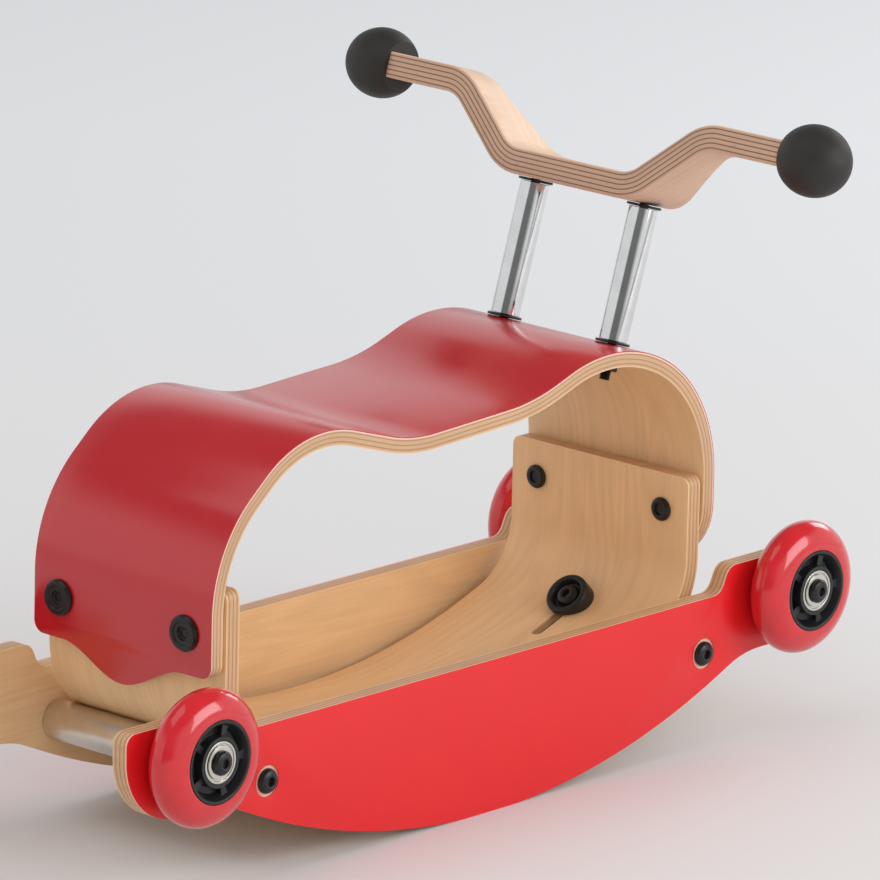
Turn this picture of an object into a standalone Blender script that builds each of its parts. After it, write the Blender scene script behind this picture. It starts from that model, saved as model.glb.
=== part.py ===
# Rocking ride-on toy: a bent-ply seat shell bolted to a bent-ply tray, two rocker side
# panels with four free-running wheels, and a gull-wing handlebar on two tube posts.
# Metres. +X is the handlebar end, +Y the rider's left, +Z up, the ground at Z = 0.

import math

import bmesh
import bpy
from mathutils import Matrix, Vector

for leftover in list(bpy.data.objects):
    bpy.data.objects.remove(leftover)

# Gap between pieces that touch, and play around a shank in its hole
GAP = 0.0003
PLAY = 0.0003

# Side panels: outline of the rocker edge, the top edge and the ears that carry the wheels
SEAT_CLEARANCE = 0.0075
PANEL_PLY = 0.010
ROCKER_RADIUS = 0.443
ROCKER_FLAT = 0.036
PANEL_TOP = 0.0818
EAR_TOP = 0.0962
EAR_BOTTOM = 0.0466
EAR_END = 0.0407
EAR_STEP_REACH = 0.0447
EAR_STEP_RUN = 0.0067
EAR_STEP_RADIUS = 0.0085
EAR_TIP_RADIUS = 0.0062
EAR_HEEL_RADIUS = 0.036
EAR_WAIST_RADIUS = 0.060
PANEL_EDGE_ROUND = 0.0008
PANEL_EDGE_ANGLE = math.radians(60)
SCREW_SEAT_DIAMETER = 0.0166
SCREW_SEAT_DEPTH = 0.0010

# Wheels, in the manner of an inline skate's
WHEELBASE = 0.456
AXLE_HEIGHT = 0.080
WHEEL_STAND_OFF = 0.0142
TYRE_DIAMETER = 0.072
TYRE_WIDTH = 0.022
HUB_DIAMETER = 0.0434
HUB_WIDTH = 0.0226
HUB_BOSS_WALL = 0.0020
HUB_LIP = 0.0015
HUB_FLOOR_DIAMETER = 0.0340
HUB_RECESS_DEPTH = 0.0062
HUB_SPOKES = 5
HUB_SPOKE_WIDTH = 0.0036
HUB_SPOKE_DROP = 0.0026
BEARING_DIAMETER = 0.022
BEARING_LIP = 0.0013
BEARING_DISH = 0.0007
SLEEVE_DIAMETER = 0.0116
SLEEVE_FLANGE_DIAMETER = 0.0176
SLEEVE_FLANGE = 0.0008
AXLE_DIAMETER = 0.008
AXLE_HEAD_DIAMETER = 0.0128
AXLE_HEAD_HEIGHT = 0.0027

# Tray: one bent strip with two uprights, and bends that run smoothly into a sagging floor
SEAT_WIDTH = 0.125
TRAY_PLY = 0.0095
UPRIGHT = 0.171
TRAY_TOP_REAR = 0.1495
TRAY_TOP_FRONT = 0.1432
TRAY_BEND_RADIUS = 0.038
TRAY_FLOOR_HEIGHT = 0.036
TRAY_FLOOR_RADIUS = 0.400
TRAY_CORNER = 0.005
TRAY_CORNER_STATIONS = (0.08, 0.3, 1.0)
PLY_EDGE_ROUND = 0.0012
SLOT_REACH = 0.012

# Cross bars under the tray's bends, and the knobs that clamp the tray on them
BAR_DIAMETER = 0.021
BAR_CHAMFER = 0.0006
BAR_ANGLE = math.radians(54.4)
KNOB_ANGLE = math.radians(45)
KNOB_DIAMETER = 0.024
KNOB_HEIGHT = 0.0088
KNOB_EDGE = 0.0018
KNOB_RECESS_DIAMETER = 0.0156
KNOB_RECESS_DEPTH = 0.0038
KNOB_BOLT_DIAMETER = 0.006
KNOB_BOLT_HEAD_DIAMETER = 0.0130
KNOB_BOLT_HEAD_HEIGHT = 0.0034
KNOB_BOLT_BITE = 0.012

# Screws through the side panels into the ends of the cross bars
PANEL_SCREW_DIAMETER = 0.006
PANEL_SCREW_HEAD_DIAMETER = 0.0132
PANEL_SCREW_HEAD_HEIGHT = 0.0034
PANEL_SCREW_BITE = 0.022

# Seat shell: corners of the outer face between its upright ends, as (distance in from the
# end, height, bend radius), from the end toward the middle
SHELL_PLY = 0.0085
SHELL_END = 0.0906
TAIL_BEND_HEIGHT = 0.1732
TAIL_BEND_RADIUS = 0.077
REAR_BENDS = (
    (0.0665, 0.2287, 0.070),
    (0.1464, 0.2043, 0.105),
)
FRONT_BENDS = (
    (0.0809, 0.2301, 0.092),
    (0.1446, 0.2080, 0.129),
)
NOSE_BEND_HEIGHT = 0.1935
NOSE_BEND_RADIUS = 0.080
NOSE_CORNER = 0.0355
TONGUE_DEPTH = 0.0149
TONGUE_REACH = 0.043
SHOULDER_ROUND = 0.0065

# Connector bolts that join the shell's ends to the tray's uprights
SHELL_BOLT_INSET = 0.018
SHELL_BOLT_HEIGHT_REAR = 0.127
SHELL_BOLT_HEIGHT_FRONT = 0.1235
SHELL_BOLT_DIAMETER = 0.006
SHELL_BOLT_HEAD_DIAMETER = 0.0190
SHELL_BOLT_HEAD_HEIGHT = 0.0026
SHELL_BOLT_DIMPLE_DIAMETER = 0.0080
SHELL_NUT_HEAD_DIAMETER = 0.0128
SHELL_NUT_HEAD_HEIGHT = 0.0024
SHELL_NUT_CAP = 0.0012
SHELL_NUT_SLEEVE_DIAMETER = 0.0088
SHELL_NUT_SLEEVE_LENGTH = 0.0080
SPACER_DIAMETER = 0.016
SPACER_HEIGHT = 0.0020

# Posts that carry the handlebar, with their washers, tie rods and nuts. They stand in from
# the seat's edges and back from the shell's front face.
POST_INSET = 0.0242
POST_SETBACK = 0.0572
POST_LEAN = math.radians(17.5)
POST_DIAMETER = 0.0156
POST_WALL = 0.0018
POST_LENGTH = 0.0714
WASHER_DIAMETER = 0.0186
WASHER_HEIGHT = 0.0014
ROD_DIAMETER = 0.006
ROD_BITE = 0.010
ROD_TAIL = 0.005
NUT_ACROSS_FLATS = 0.010
NUT_HEIGHT = 0.005

# Handlebar: a gull-wing strip, flat over the posts and flat again at the grips
HANDLE_PLY = 0.014
HANDLE_RISE = 0.0347
HANDLE_SLOPE = math.radians(40)
HANDLE_KNEE_REACH = 0.0062
HANDLE_KNEE_RADIUS = 0.026
HANDLE_REAR_EDGE = 0.0235
HANDLE_FRONT_EDGE = 0.0235
HANDLE_TIP_REAR = 0.0225
HANDLE_TIP_FRONT = -0.0005
HANDLE_TAPER_START = 0.026
HANDLE_TAPER_END = 0.092
HANDLE_STATION = 0.012
GRIP_SPREAD = 0.3048
GRIP_DIAMETER = 0.0384
GRIP_LENGTH = 0.0410
GRIP_MOUTH = 0.014
GRIP_ENGAGEMENT = 0.019

# A socket bolt's head, as shares of its radius and of its height: how high its side is
# straight, where its crown bends and ends, and how wide and deep its socket is
HEAD_SIDE = 0.35
HEAD_SHOULDER = (0.86, 0.78)
HEAD_TOP = 0.58
SOCKET_WIDTH = 0.42
SOCKET_FLOOR = 0.45

# Sides of turned pieces, steps of bends, and the angle from which an edge shows as sharp
TYRE_SIDES = 32
ROUND_SIDES = 20
SMALL_SIDES = 12
BEND_SIDES = 72
SHEET_STEP = math.radians(8)
TRAY_STEP = math.radians(6)
SLOT_STEP = math.radians(22.6)
PANEL_STEP = math.radians(12)
SHARP_ANGLE = math.radians(35)

# Which way an end lies along X, and which way a side lies along Y
ENDS = (("front", 1), ("rear", -1))
SIDES = (("left", 1), ("right", -1))


def material(name, colour, roughness, metallic=0.0):
    made = bpy.data.materials.new(name)
    made.use_nodes = True
    shader = made.node_tree.nodes["Principled BSDF"]
    shader.inputs["Base Color"].default_value = (*colour, 1.0)
    shader.inputs["Roughness"].default_value = roughness
    shader.inputs["Metallic"].default_value = metallic
    return made


RED_LAMINATE = material("red_laminate", (0.72, 0.06, 0.055), 0.32)
SEAT_RED = material("seat_red_laminate", (0.45, 0.02, 0.025), 0.28)
BIRCH = material("birch_ply", (0.62, 0.42, 0.24), 0.55)
RED_RUBBER = material("red_polyurethane", (0.72, 0.045, 0.05), 0.35)
BLACK_NYLON = material("black_nylon", (0.02, 0.02, 0.02), 0.5)
BLACK_STEEL = material("black_steel", (0.03, 0.03, 0.03), 0.35, 0.8)
SATIN_METAL = material("satin_aluminium", (0.6, 0.58, 0.54), 0.4, 1.0)
CHROME = material("chrome", (0.85, 0.85, 0.85), 0.08, 1.0)
BRIGHT_STEEL = material("bright_steel", (0.7, 0.69, 0.65), 0.25, 1.0)
BLACK_WOOD = material("black_lacquer", (0.025, 0.024, 0.022), 0.55)


# Make an object of a mesh built in bmesh, with its faces turned outward
def finish(name, bm, look):
    bmesh.ops.recalc_face_normals(bm, faces=bm.faces)
    mesh = bpy.data.meshes.new(name)
    bm.to_mesh(mesh)
    bm.free()
    mesh.shade_smooth()
    mesh.set_sharp_from_angle(angle=SHARP_ANGLE)
    mesh.materials.append(look)
    made = bpy.data.objects.new(name, mesh)
    bpy.context.collection.objects.link(made)
    return made


# Another object with the same mesh
def copy_of(original, name):
    made = bpy.data.objects.new(name, original.data)
    bpy.context.collection.objects.link(made)
    return made


# Place an object so that its local +Z points along a direction
def place(made, origin, direction):
    turn = Vector((0.0, 0.0, 1.0)).rotation_difference(Vector(direction))
    made.matrix_world = Matrix.Translation(origin) @ turn.to_matrix().to_4x4()
    return made


# Turn a closed profile of (radius, height) points about the local Z axis
def turned(name, profile, look, sides):
    bm = bmesh.new()
    rings = []
    for radius, height in profile:
        count = sides if radius > 0 else 1
        rings.append([bm.verts.new((*point, height)) for point in circle(radius, sides)[:count]])
    for low, high in zip(rings, rings[1:] + rings[:1]):
        if len(low) == 1 and len(high) == 1:
            continue
        flat = low[0].co.z == high[0].co.z
        if flat and (len(low) == 1 or len(high) == 1):
            bm.faces.new(max(low, high, key=len))
            continue
        for i in range(sides):
            j = (i + 1) % sides
            corners = (low[i % len(low)], low[j % len(low)], high[j % len(high)], high[i % len(high)])
            bm.faces.new(list(dict.fromkeys(corners)))
    loose = [vertex for vertex in bm.verts if not vertex.link_faces]
    bmesh.ops.delete(bm, geom=loose, context="VERTS")
    return finish(name, bm, look)


def circle(radius, count):
    angles = [2 * math.pi * i / count for i in range(count)]
    return [(radius * math.cos(angle), radius * math.sin(angle)) for angle in angles]


# A straight prism of a closed outline in local X and Y, from one height to another
def prism(name, outline, bottom, top, look):
    bm = bmesh.new()
    low = [bm.verts.new((x, y, bottom)) for x, y in outline]
    high = [bm.verts.new((x, y, top)) for x, y in outline]
    bm.faces.new(low)
    bm.faces.new(high)
    for i in range(len(outline)):
        j = (i + 1) % len(outline)
        bm.faces.new((low[i], low[j], high[j], high[i]))
    return finish(name, bm, look)


# Hide an object and use it to cut another
def cut(target, cutter, operation="DIFFERENCE"):
    cutter.hide_render = True
    cutter.display_type = "WIRE"
    boolean = target.modifiers.new("cut", "BOOLEAN")
    boolean.operation = operation
    boolean.object = cutter


# Cut a round hole from a start point along a direction
def drill(target, name, diameter, start, direction, length, sides=SMALL_SIDES):
    radius = diameter / 2
    profile = [(0, 0), (radius, 0), (radius, length), (0, length)]
    cut(target, place(turned(name, profile, BLACK_STEEL, sides), start, direction))


# A path through corners of (x, z, bend radius), with each bend turned into short steps
def bent_path(corners, step):
    points = [Vector(corners[0][:2])]
    for before, corner, after in zip(corners, corners[1:], corners[2:]):
        here = Vector(corner[:2])
        back = (Vector(before[:2]) - here).normalized()
        ahead = (Vector(after[:2]) - here).normalized()
        radius = corner[2]
        turn = math.pi - back.angle(ahead)
        centre = here + (back + ahead).normalized() * (radius / math.cos(turn / 2))
        spoke = here + back * radius * math.tan(turn / 2) - centre
        hand = 1 if back.x * ahead.y - back.y * ahead.x < 0 else -1
        count = max(2, math.ceil(turn / step))
        for i in range(count + 1):
            swing = Matrix.Rotation(hand * turn * i / count, 2)
            points.append(centre + swing @ spoke)
    points.append(Vector(corners[-1][:2]))
    return points


# Points of an arc about a centre, from one angle to another, both counted from +X
def arc_points(centre, radius, start, end, step):
    count = max(2, math.ceil((end - start) / step))
    angles = [start + (end - start) * i / count for i in range(count + 1)]
    return [centre + radius * Vector((math.cos(angle), math.sin(angle))) for angle in angles]


# Add points to a path so that no step of it is long
def divided(path, longest):
    points = [path[0]]
    for first, second in zip(path, path[1:]):
        count = max(1, math.ceil((second - first).length / longest))
        points += [first.lerp(second, (i + 1) / count) for i in range(count)]
    return points


# Unit directions along a path at each of its points
def headings(path):
    spans = [(b - a).normalized() for a, b in zip(path, path[1:])]
    middle = [(a + b).normalized() for a, b in zip(spans, spans[1:])]
    return [spans[0]] + middle + [spans[-1]]


# A strip of ply swept along stations of (face point, normal, across, low side, high side)
def ribbon(name, stations, ply, look):
    bm = bmesh.new()
    loops = []
    for point, normal, across, low, high in stations:
        loop = [bm.verts.new(point + across * side + normal * level)
                for side, level in strip_section(low, high, ply)]
        loops.append(loop)
    for first, second in zip(loops, loops[1:]):
        for i in range(len(first)):
            j = (i + 1) % len(first)
            bm.faces.new((first[i], first[j], second[j], second[i]))
    bm.faces.new(loops[0])
    bm.faces.new(loops[-1])
    return finish(name, bm, look)


# A rectangle with each corner rounded in two steps, its upper face at level 0
def strip_section(low, high, ply):
    centre = Vector(((low + high) / 2, -ply / 2))
    half = Vector(((high - low) / 2 - PLY_EDGE_ROUND, ply / 2 - PLY_EDGE_ROUND))
    points = []
    for quarter, (across, up) in enumerate(((1, 1), (-1, 1), (-1, -1), (1, -1))):
        for i in range(3):
            angle = math.radians(90 * quarter + 45 * i)
            points.append((centre.x + across * half.x + PLY_EDGE_ROUND * math.cos(angle),
                           centre.y + up * half.y + PLY_EDGE_ROUND * math.sin(angle)))
    return points


# Stations of a strip that keeps across Y, its face on the left-hand side of the path
def lengthwise_stations(path, half_widths):
    stations = []
    for point, heading, half in zip(path, headings(path), half_widths):
        normal = Vector((-heading.y, 0.0, heading.x))
        stations.append((Vector((point.x, 0.0, point.y)), normal, Vector((0, 1, 0)), -half, half))
    return stations


# Values that several pieces share
half_seat = SEAT_WIDTH / 2
half_panel = half_seat + SEAT_CLEARANCE
panel_outer = half_panel + PANEL_PLY
wheel_y = panel_outer + WHEEL_STAND_OFF
hub_face = HUB_WIDTH / 2
bar_radius = BAR_DIAMETER / 2
stand_off = SPACER_HEIGHT + 2 * GAP
bolt_y = half_seat - SHELL_BOLT_INSET
bolt_height = {1: SHELL_BOLT_HEIGHT_FRONT, -1: SHELL_BOLT_HEIGHT_REAR}
shell_face = UPRIGHT + TRAY_PLY + stand_off + SHELL_PLY
post_x = shell_face - POST_SETBACK
post_y = half_seat - POST_INSET

# The tray's floor is an arc that touches its bends' arcs. Their centres, the slope where they
# touch, and the centre of the cross bars, as seen from the side at the front end
floor_centre_z = TRAY_FLOOR_HEIGHT + TRAY_FLOOR_RADIUS
bend_x = UPRIGHT - TRAY_BEND_RADIUS
floor_slope = math.asin(bend_x / (TRAY_FLOOR_RADIUS - TRAY_BEND_RADIUS))
bend_z = floor_centre_z - (TRAY_FLOOR_RADIUS - TRAY_BEND_RADIUS) * math.cos(floor_slope)
bar_reach = TRAY_BEND_RADIUS + TRAY_PLY + GAP + bar_radius
bar_x = bend_x + bar_reach * math.cos(BAR_ANGLE)
bar_z = bend_z - bar_reach * math.sin(BAR_ANGLE)

# Distance from a cross bar's centre along the knob's axis to the tray's inner face
knob_direction = Vector((-math.cos(KNOB_ANGLE), 0, math.sin(KNOB_ANGLE)))
to_bend = Vector((bend_x - bar_x, 0, bend_z - bar_z))
along = to_bend.dot(knob_direction)
knob_rise = along - math.sqrt(along ** 2 - to_bend.length_squared + TRAY_BEND_RADIUS ** 2)
knob_bolt_reach = knob_rise - bar_radius + KNOB_BOLT_BITE

# The shell's outer face seen from the side, tail first
shell_path = bent_path([
    (-shell_face, SHELL_END, 0), (-shell_face, TAIL_BEND_HEIGHT, TAIL_BEND_RADIUS),
    *[(inward - shell_face, height, radius) for inward, height, radius in REAR_BENDS],
    *[(shell_face - inward, height, radius) for inward, height, radius in FRONT_BENDS[::-1]],
    (shell_face, NOSE_BEND_HEIGHT, NOSE_BEND_RADIUS), (shell_face, SHELL_END, 0),
], step=SHEET_STEP)

# The posts stand on the shell's front hump, square to it
post_axis = Vector((math.sin(POST_LEAN), 0, math.cos(POST_LEAN)))
handle_forward = Vector((math.cos(POST_LEAN), 0, -math.sin(POST_LEAN)))
handle_start = 4 * GAP + 2 * WASHER_HEIGHT + POST_LENGTH


def shell_height(x):
    for first, second in zip(shell_path, shell_path[1:]):
        if first.x <= x < second.x:
            return first.lerp(second, (x - first.x) / (second.x - first.x)).y
    return SHELL_END


# A point on a post's axis at a height above the shell
def post_point(hand, height):
    foot = Vector((post_x, hand * post_y, shell_height(post_x)))
    return foot + post_axis * height


# Direction from a cross bar up through the tray's bend, and where it leaves the tray
def knob_axis(way):
    return Vector((way * knob_direction.x, 0, knob_direction.z))


def knob_seat(way):
    return Vector((way * bar_x, 0, bar_z)) + knob_axis(way) * knob_rise


def make_shell():
    half_widths = [half_seat] * len(shell_path)
    shell = ribbon("seat_shell", lengthwise_stations(shell_path, half_widths), SHELL_PLY, SEAT_RED)
    edges = {"front": nose_edge(), "rear": tongue_edge()}
    for end, way in ENDS:
        outline = trim_outline(edges[end])
        trim = prism(f"shell_end_trim_{end}", outline, -SHELL_PLY, 2 * SHELL_PLY, SEAT_RED)
        across = Vector((0, way, 0))
        frame = Matrix((across, Vector((0, 0, 1)), Vector((way, 0, 0)))).transposed().to_4x4()
        trim.matrix_world = Matrix.Translation((way * (shell_face - SHELL_PLY), 0, 0)) @ frame
        cut(shell, trim)
        for side, hand in SIDES:
            start = (way * (shell_face + SHELL_PLY), hand * bolt_y, bolt_height[way])
            drill(shell, f"shell_hole_{end}_{side}", SHELL_BOLT_DIAMETER + 2 * PLAY, start,
                  (-way, 0, 0), 3 * SHELL_PLY)
    for side, hand in SIDES:
        drill(shell, f"shell_rod_hole_{side}", ROD_DIAMETER + 2 * PLAY,
              post_point(hand, 2 * SHELL_PLY), -post_axis, 4 * SHELL_PLY)


# Half of the tail's bell-shaped lower edge, from the middle out, in Y and Z
def tongue_edge():
    shoulder = SHELL_END + TONGUE_DEPTH
    edge = []
    count = 10
    for i in range(count):
        rise = (1 - math.cos(math.pi * i / count)) / 2
        edge.append((TONGUE_REACH * i / count, SHELL_END + TONGUE_DEPTH * rise))
    return edge + rounded_corner(shoulder, SHOULDER_ROUND, 4)


# Half of the front's lower edge: straight, with a broad corner
def nose_edge():
    return rounded_corner(SHELL_END, NOSE_CORNER, 8)


# A quarter round from an edge at some height up to the shell's side
def rounded_corner(height, radius, count):
    angles = [math.pi / 2 * i / count for i in range(count + 1)]
    return [(half_seat - radius * (1 - math.sin(angle)), height + radius * (1 - math.cos(angle)))
            for angle in angles]


# Everything below a lower edge, mirrored across the middle
def trim_outline(edge):
    half = edge + [(SEAT_WIDTH, edge[-1][1]), (SEAT_WIDTH, SHELL_END - TONGUE_DEPTH)]
    return half + [(-across, height) for across, height in reversed(half) if across > 0]


# The tray's inner face seen from the side, rear end first: two uprights and three arcs
def tray_path():
    down = -math.pi / 2
    rear_bend = arc_points(Vector((-bend_x, bend_z)), TRAY_BEND_RADIUS, -math.pi,
                           down - floor_slope, TRAY_STEP)
    floor = arc_points(Vector((0, floor_centre_z)), TRAY_FLOOR_RADIUS, down - floor_slope,
                       down + floor_slope, TRAY_STEP)
    front_bend = arc_points(Vector((bend_x, bend_z)), TRAY_BEND_RADIUS, down + floor_slope, 0,
                            TRAY_STEP)
    rear_top = Vector((-UPRIGHT, TRAY_TOP_REAR))
    front_top = Vector((UPRIGHT, TRAY_TOP_FRONT))
    return [rear_top] + rear_bend + floor[1:-1] + front_bend + [front_top]


def make_tray():
    path = tray_path()
    rear_corner = corner_steps(path[0])
    front_corner = corner_steps(path[-1])
    path = path[:1] + rear_corner + path[1:-1] + front_corner[::-1] + path[-1:]
    half_widths = []
    for point in path:
        top = TRAY_TOP_REAR if point.x < 0 else TRAY_TOP_FRONT
        rise = min(1.0, max(0.0, 1 - (top - point.y) / TRAY_CORNER))
        half_widths.append(half_seat - TRAY_CORNER * (1 - math.sqrt(1 - rise * rise)))
    tray = ribbon("base_tray", lengthwise_stations(path, half_widths), TRAY_PLY, BIRCH)
    for end, way in ENDS:
        for side, hand in SIDES:
            start = (way * (UPRIGHT + 2 * TRAY_PLY), hand * bolt_y, bolt_height[way])
            drill(tray, f"tray_hole_{end}_{side}", SHELL_NUT_SLEEVE_DIAMETER + 2 * PLAY, start,
                  (-way, 0, 0), 3 * TRAY_PLY)
        drill(tray, f"tray_knob_hole_{end}", KNOB_BOLT_DIAMETER + 2 * PLAY,
              knob_seat(way) + knob_axis(way) * TRAY_PLY, -knob_axis(way), 3 * TRAY_PLY)
        cut(tray, prism(f"tray_slot_{end}", slot_outline(way), 0.0, bend_z, BIRCH))


# Points just below an upright's tip, where its corners are rounded
def corner_steps(tip):
    return [Vector((tip.x, tip.y - TRAY_CORNER * drop)) for drop in TRAY_CORNER_STATIONS]


# The slot that a knob's bolt slides along, seen from above: round toward the middle
def slot_outline(way):
    radius = KNOB_BOLT_DIAMETER / 2 + PLAY
    stop = knob_seat(1).x
    middle = Vector((bend_x - SLOT_REACH + radius, 0))
    half_turn = arc_points(middle, radius, math.pi / 2, 3 * math.pi / 2, SLOT_STEP)
    outline = [(stop, -radius), (stop, radius)] + [(point.x, point.y) for point in half_turn]
    return [(way * x, y) for x, y in outline]


# A side panel's outline in X and Z: rocker edge, ear, and stepped top edge, mirrored
def panel_outline():
    half_flat = ROCKER_FLAT / 2
    centre_z = math.sqrt(ROCKER_RADIUS ** 2 - half_flat ** 2)
    waist_angle = math.acos((centre_z - EAR_BOTTOM) / ROCKER_RADIUS)
    waist_reach = EAR_WAIST_RADIUS * math.tan(waist_angle / 2)
    first = math.asin(half_flat / ROCKER_RADIUS)
    last = waist_angle - waist_reach / ROCKER_RADIUS
    count = 14
    angles = [first + (last - first) * i / count for i in range(count + 1)]
    rocker = [Vector((ROCKER_RADIUS * math.sin(angle), centre_z - ROCKER_RADIUS * math.cos(angle)))
              for angle in angles]
    step_x = WHEELBASE / 2 - EAR_STEP_REACH
    end_x = WHEELBASE / 2 + EAR_END
    ear = bent_path([
        (*rocker[-1], 0), (ROCKER_RADIUS * math.sin(waist_angle), EAR_BOTTOM, EAR_WAIST_RADIUS),
        (end_x, EAR_BOTTOM, EAR_HEEL_RADIUS), (end_x, EAR_TOP, EAR_TIP_RADIUS),
        (step_x + EAR_STEP_RUN / 2, EAR_TOP, EAR_STEP_RADIUS),
        (step_x - EAR_STEP_RUN / 2, PANEL_TOP, EAR_STEP_RADIUS), (0, PANEL_TOP, 0),
    ], step=PANEL_STEP)
    half = rocker[:-1] + ear[2:-1]
    return [(point.x, point.y) for point in half] + [(-point.x, point.y) for point in half[::-1]]


def make_panel(side, hand):
    outline = [(x, -z) for x, z in panel_outline()]
    panel = prism(f"side_panel_{side}", outline, 0.0, PANEL_PLY, RED_LAMINATE)
    lowest = half_panel if hand > 0 else -panel_outer
    stand = Matrix.Rotation(math.radians(-90), 4, "X")
    panel.matrix_world = Matrix.Translation((0, lowest, 0)) @ stand
    soften = panel.modifiers.new("edge_round", "BEVEL")
    soften.width = PANEL_EDGE_ROUND
    soften.segments = 1
    soften.limit_method = "ANGLE"
    soften.angle_limit = PANEL_EDGE_ANGLE
    inward = (0, -hand, 0)
    outside = hand * (panel_outer + PANEL_PLY)
    for end, way in ENDS:
        screw = (way * bar_x, outside, bar_z)
        drill(panel, f"panel_hole_{end}_{side}", PANEL_SCREW_DIAMETER + 2 * PLAY, screw, inward,
              3 * PANEL_PLY)
        drill(panel, f"screw_seat_{end}_{side}", SCREW_SEAT_DIAMETER, screw, inward,
              PANEL_PLY + SCREW_SEAT_DEPTH, ROUND_SIDES)
        drill(panel, f"axle_hole_{end}_{side}", AXLE_DIAMETER + 2 * PLAY,
              (way * WHEELBASE / 2, outside, AXLE_HEIGHT), inward, 3 * PANEL_PLY)


def make_cross_bars():
    length = 2 * (half_panel - GAP)
    profile = [(0, 0), (bar_radius - BAR_CHAMFER, 0), (bar_radius, BAR_CHAMFER),
               (bar_radius, length - BAR_CHAMFER), (bar_radius - BAR_CHAMFER, length), (0, length)]
    for end, way in ENDS:
        bar = turned(f"cross_bar_{end}", profile, SATIN_METAL, ROUND_SIDES)
        place(bar, (way * bar_x, -length / 2, bar_z), (0, 1, 0))
        for side, hand in SIDES:
            drill(bar, f"bar_end_{end}_{side}", PANEL_SCREW_DIAMETER + 2 * PLAY,
                  (way * bar_x, hand * panel_outer, bar_z), (0, -hand, 0),
                  PANEL_PLY + PANEL_SCREW_BITE + GAP)
        drill(bar, f"bar_bolt_hole_{end}", KNOB_BOLT_DIAMETER + 2 * PLAY, knob_seat(way),
              -knob_axis(way), knob_bolt_reach + GAP)


# Rounded-head bolt with a hexagon socket; the underside of its head is at its origin
def socket_bolt(name, shank, head, height, length):
    radius = head / 2
    shoulder, bend = HEAD_SHOULDER
    bolt = turned(name, [
        (0, -length), (shank / 2, -length), (shank / 2, 0), (radius, 0),
        (radius, HEAD_SIDE * height), (shoulder * radius, bend * height),
        (HEAD_TOP * radius, height), (0, height),
    ], BLACK_STEEL, SMALL_SIDES)
    socket = prism(f"{name}_socket", circle(SOCKET_WIDTH * radius, 6), SOCKET_FLOOR * height,
                   2 * height, BLACK_STEEL)
    socket.parent = bolt
    cut(bolt, socket)
    return bolt


def make_knobs():
    radius = KNOB_DIAMETER / 2
    recess = KNOB_RECESS_DIAMETER / 2
    bore = KNOB_BOLT_DIAMETER / 2 + PLAY
    floor = KNOB_HEIGHT - KNOB_RECESS_DEPTH
    profile = [(bore, -radius), (radius, -radius), (radius, KNOB_HEIGHT - KNOB_EDGE),
               (radius - KNOB_EDGE, KNOB_HEIGHT), (recess, KNOB_HEIGHT), (recess, floor),
               (bore, floor)]
    for end, way in ENDS:
        axis = knob_axis(way)
        knob = turned(f"clamp_knob_{end}", profile, BLACK_NYLON, ROUND_SIDES)
        place(knob, knob_seat(way), axis)
        room_radius = TRAY_BEND_RADIUS - GAP
        room = turned(f"knob_room_{end}", [(0, 0), (room_radius, 0), (room_radius, SEAT_WIDTH),
                                           (0, SEAT_WIDTH)], BLACK_NYLON, BEND_SIDES)
        place(room, (way * bend_x, -half_seat, bend_z), (0, 1, 0))
        cut(knob, room, "INTERSECT")
        bolt = socket_bolt(f"knob_bolt_{end}", KNOB_BOLT_DIAMETER, KNOB_BOLT_HEAD_DIAMETER,
                           KNOB_BOLT_HEAD_HEIGHT, floor + GAP + knob_bolt_reach)
        place(bolt, knob_seat(way) + axis * (floor + GAP), axis)


def make_panel_screws():
    seat = panel_outer - SCREW_SEAT_DEPTH + GAP
    length = seat - half_panel + PANEL_SCREW_BITE
    for end, way in ENDS:
        for side, hand in SIDES:
            screw = socket_bolt(f"panel_screw_{end}_{side}", PANEL_SCREW_DIAMETER,
                                PANEL_SCREW_HEAD_DIAMETER, PANEL_SCREW_HEAD_HEIGHT, length)
            place(screw, (way * bar_x, hand * seat, bar_z), (0, hand, 0))


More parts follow.
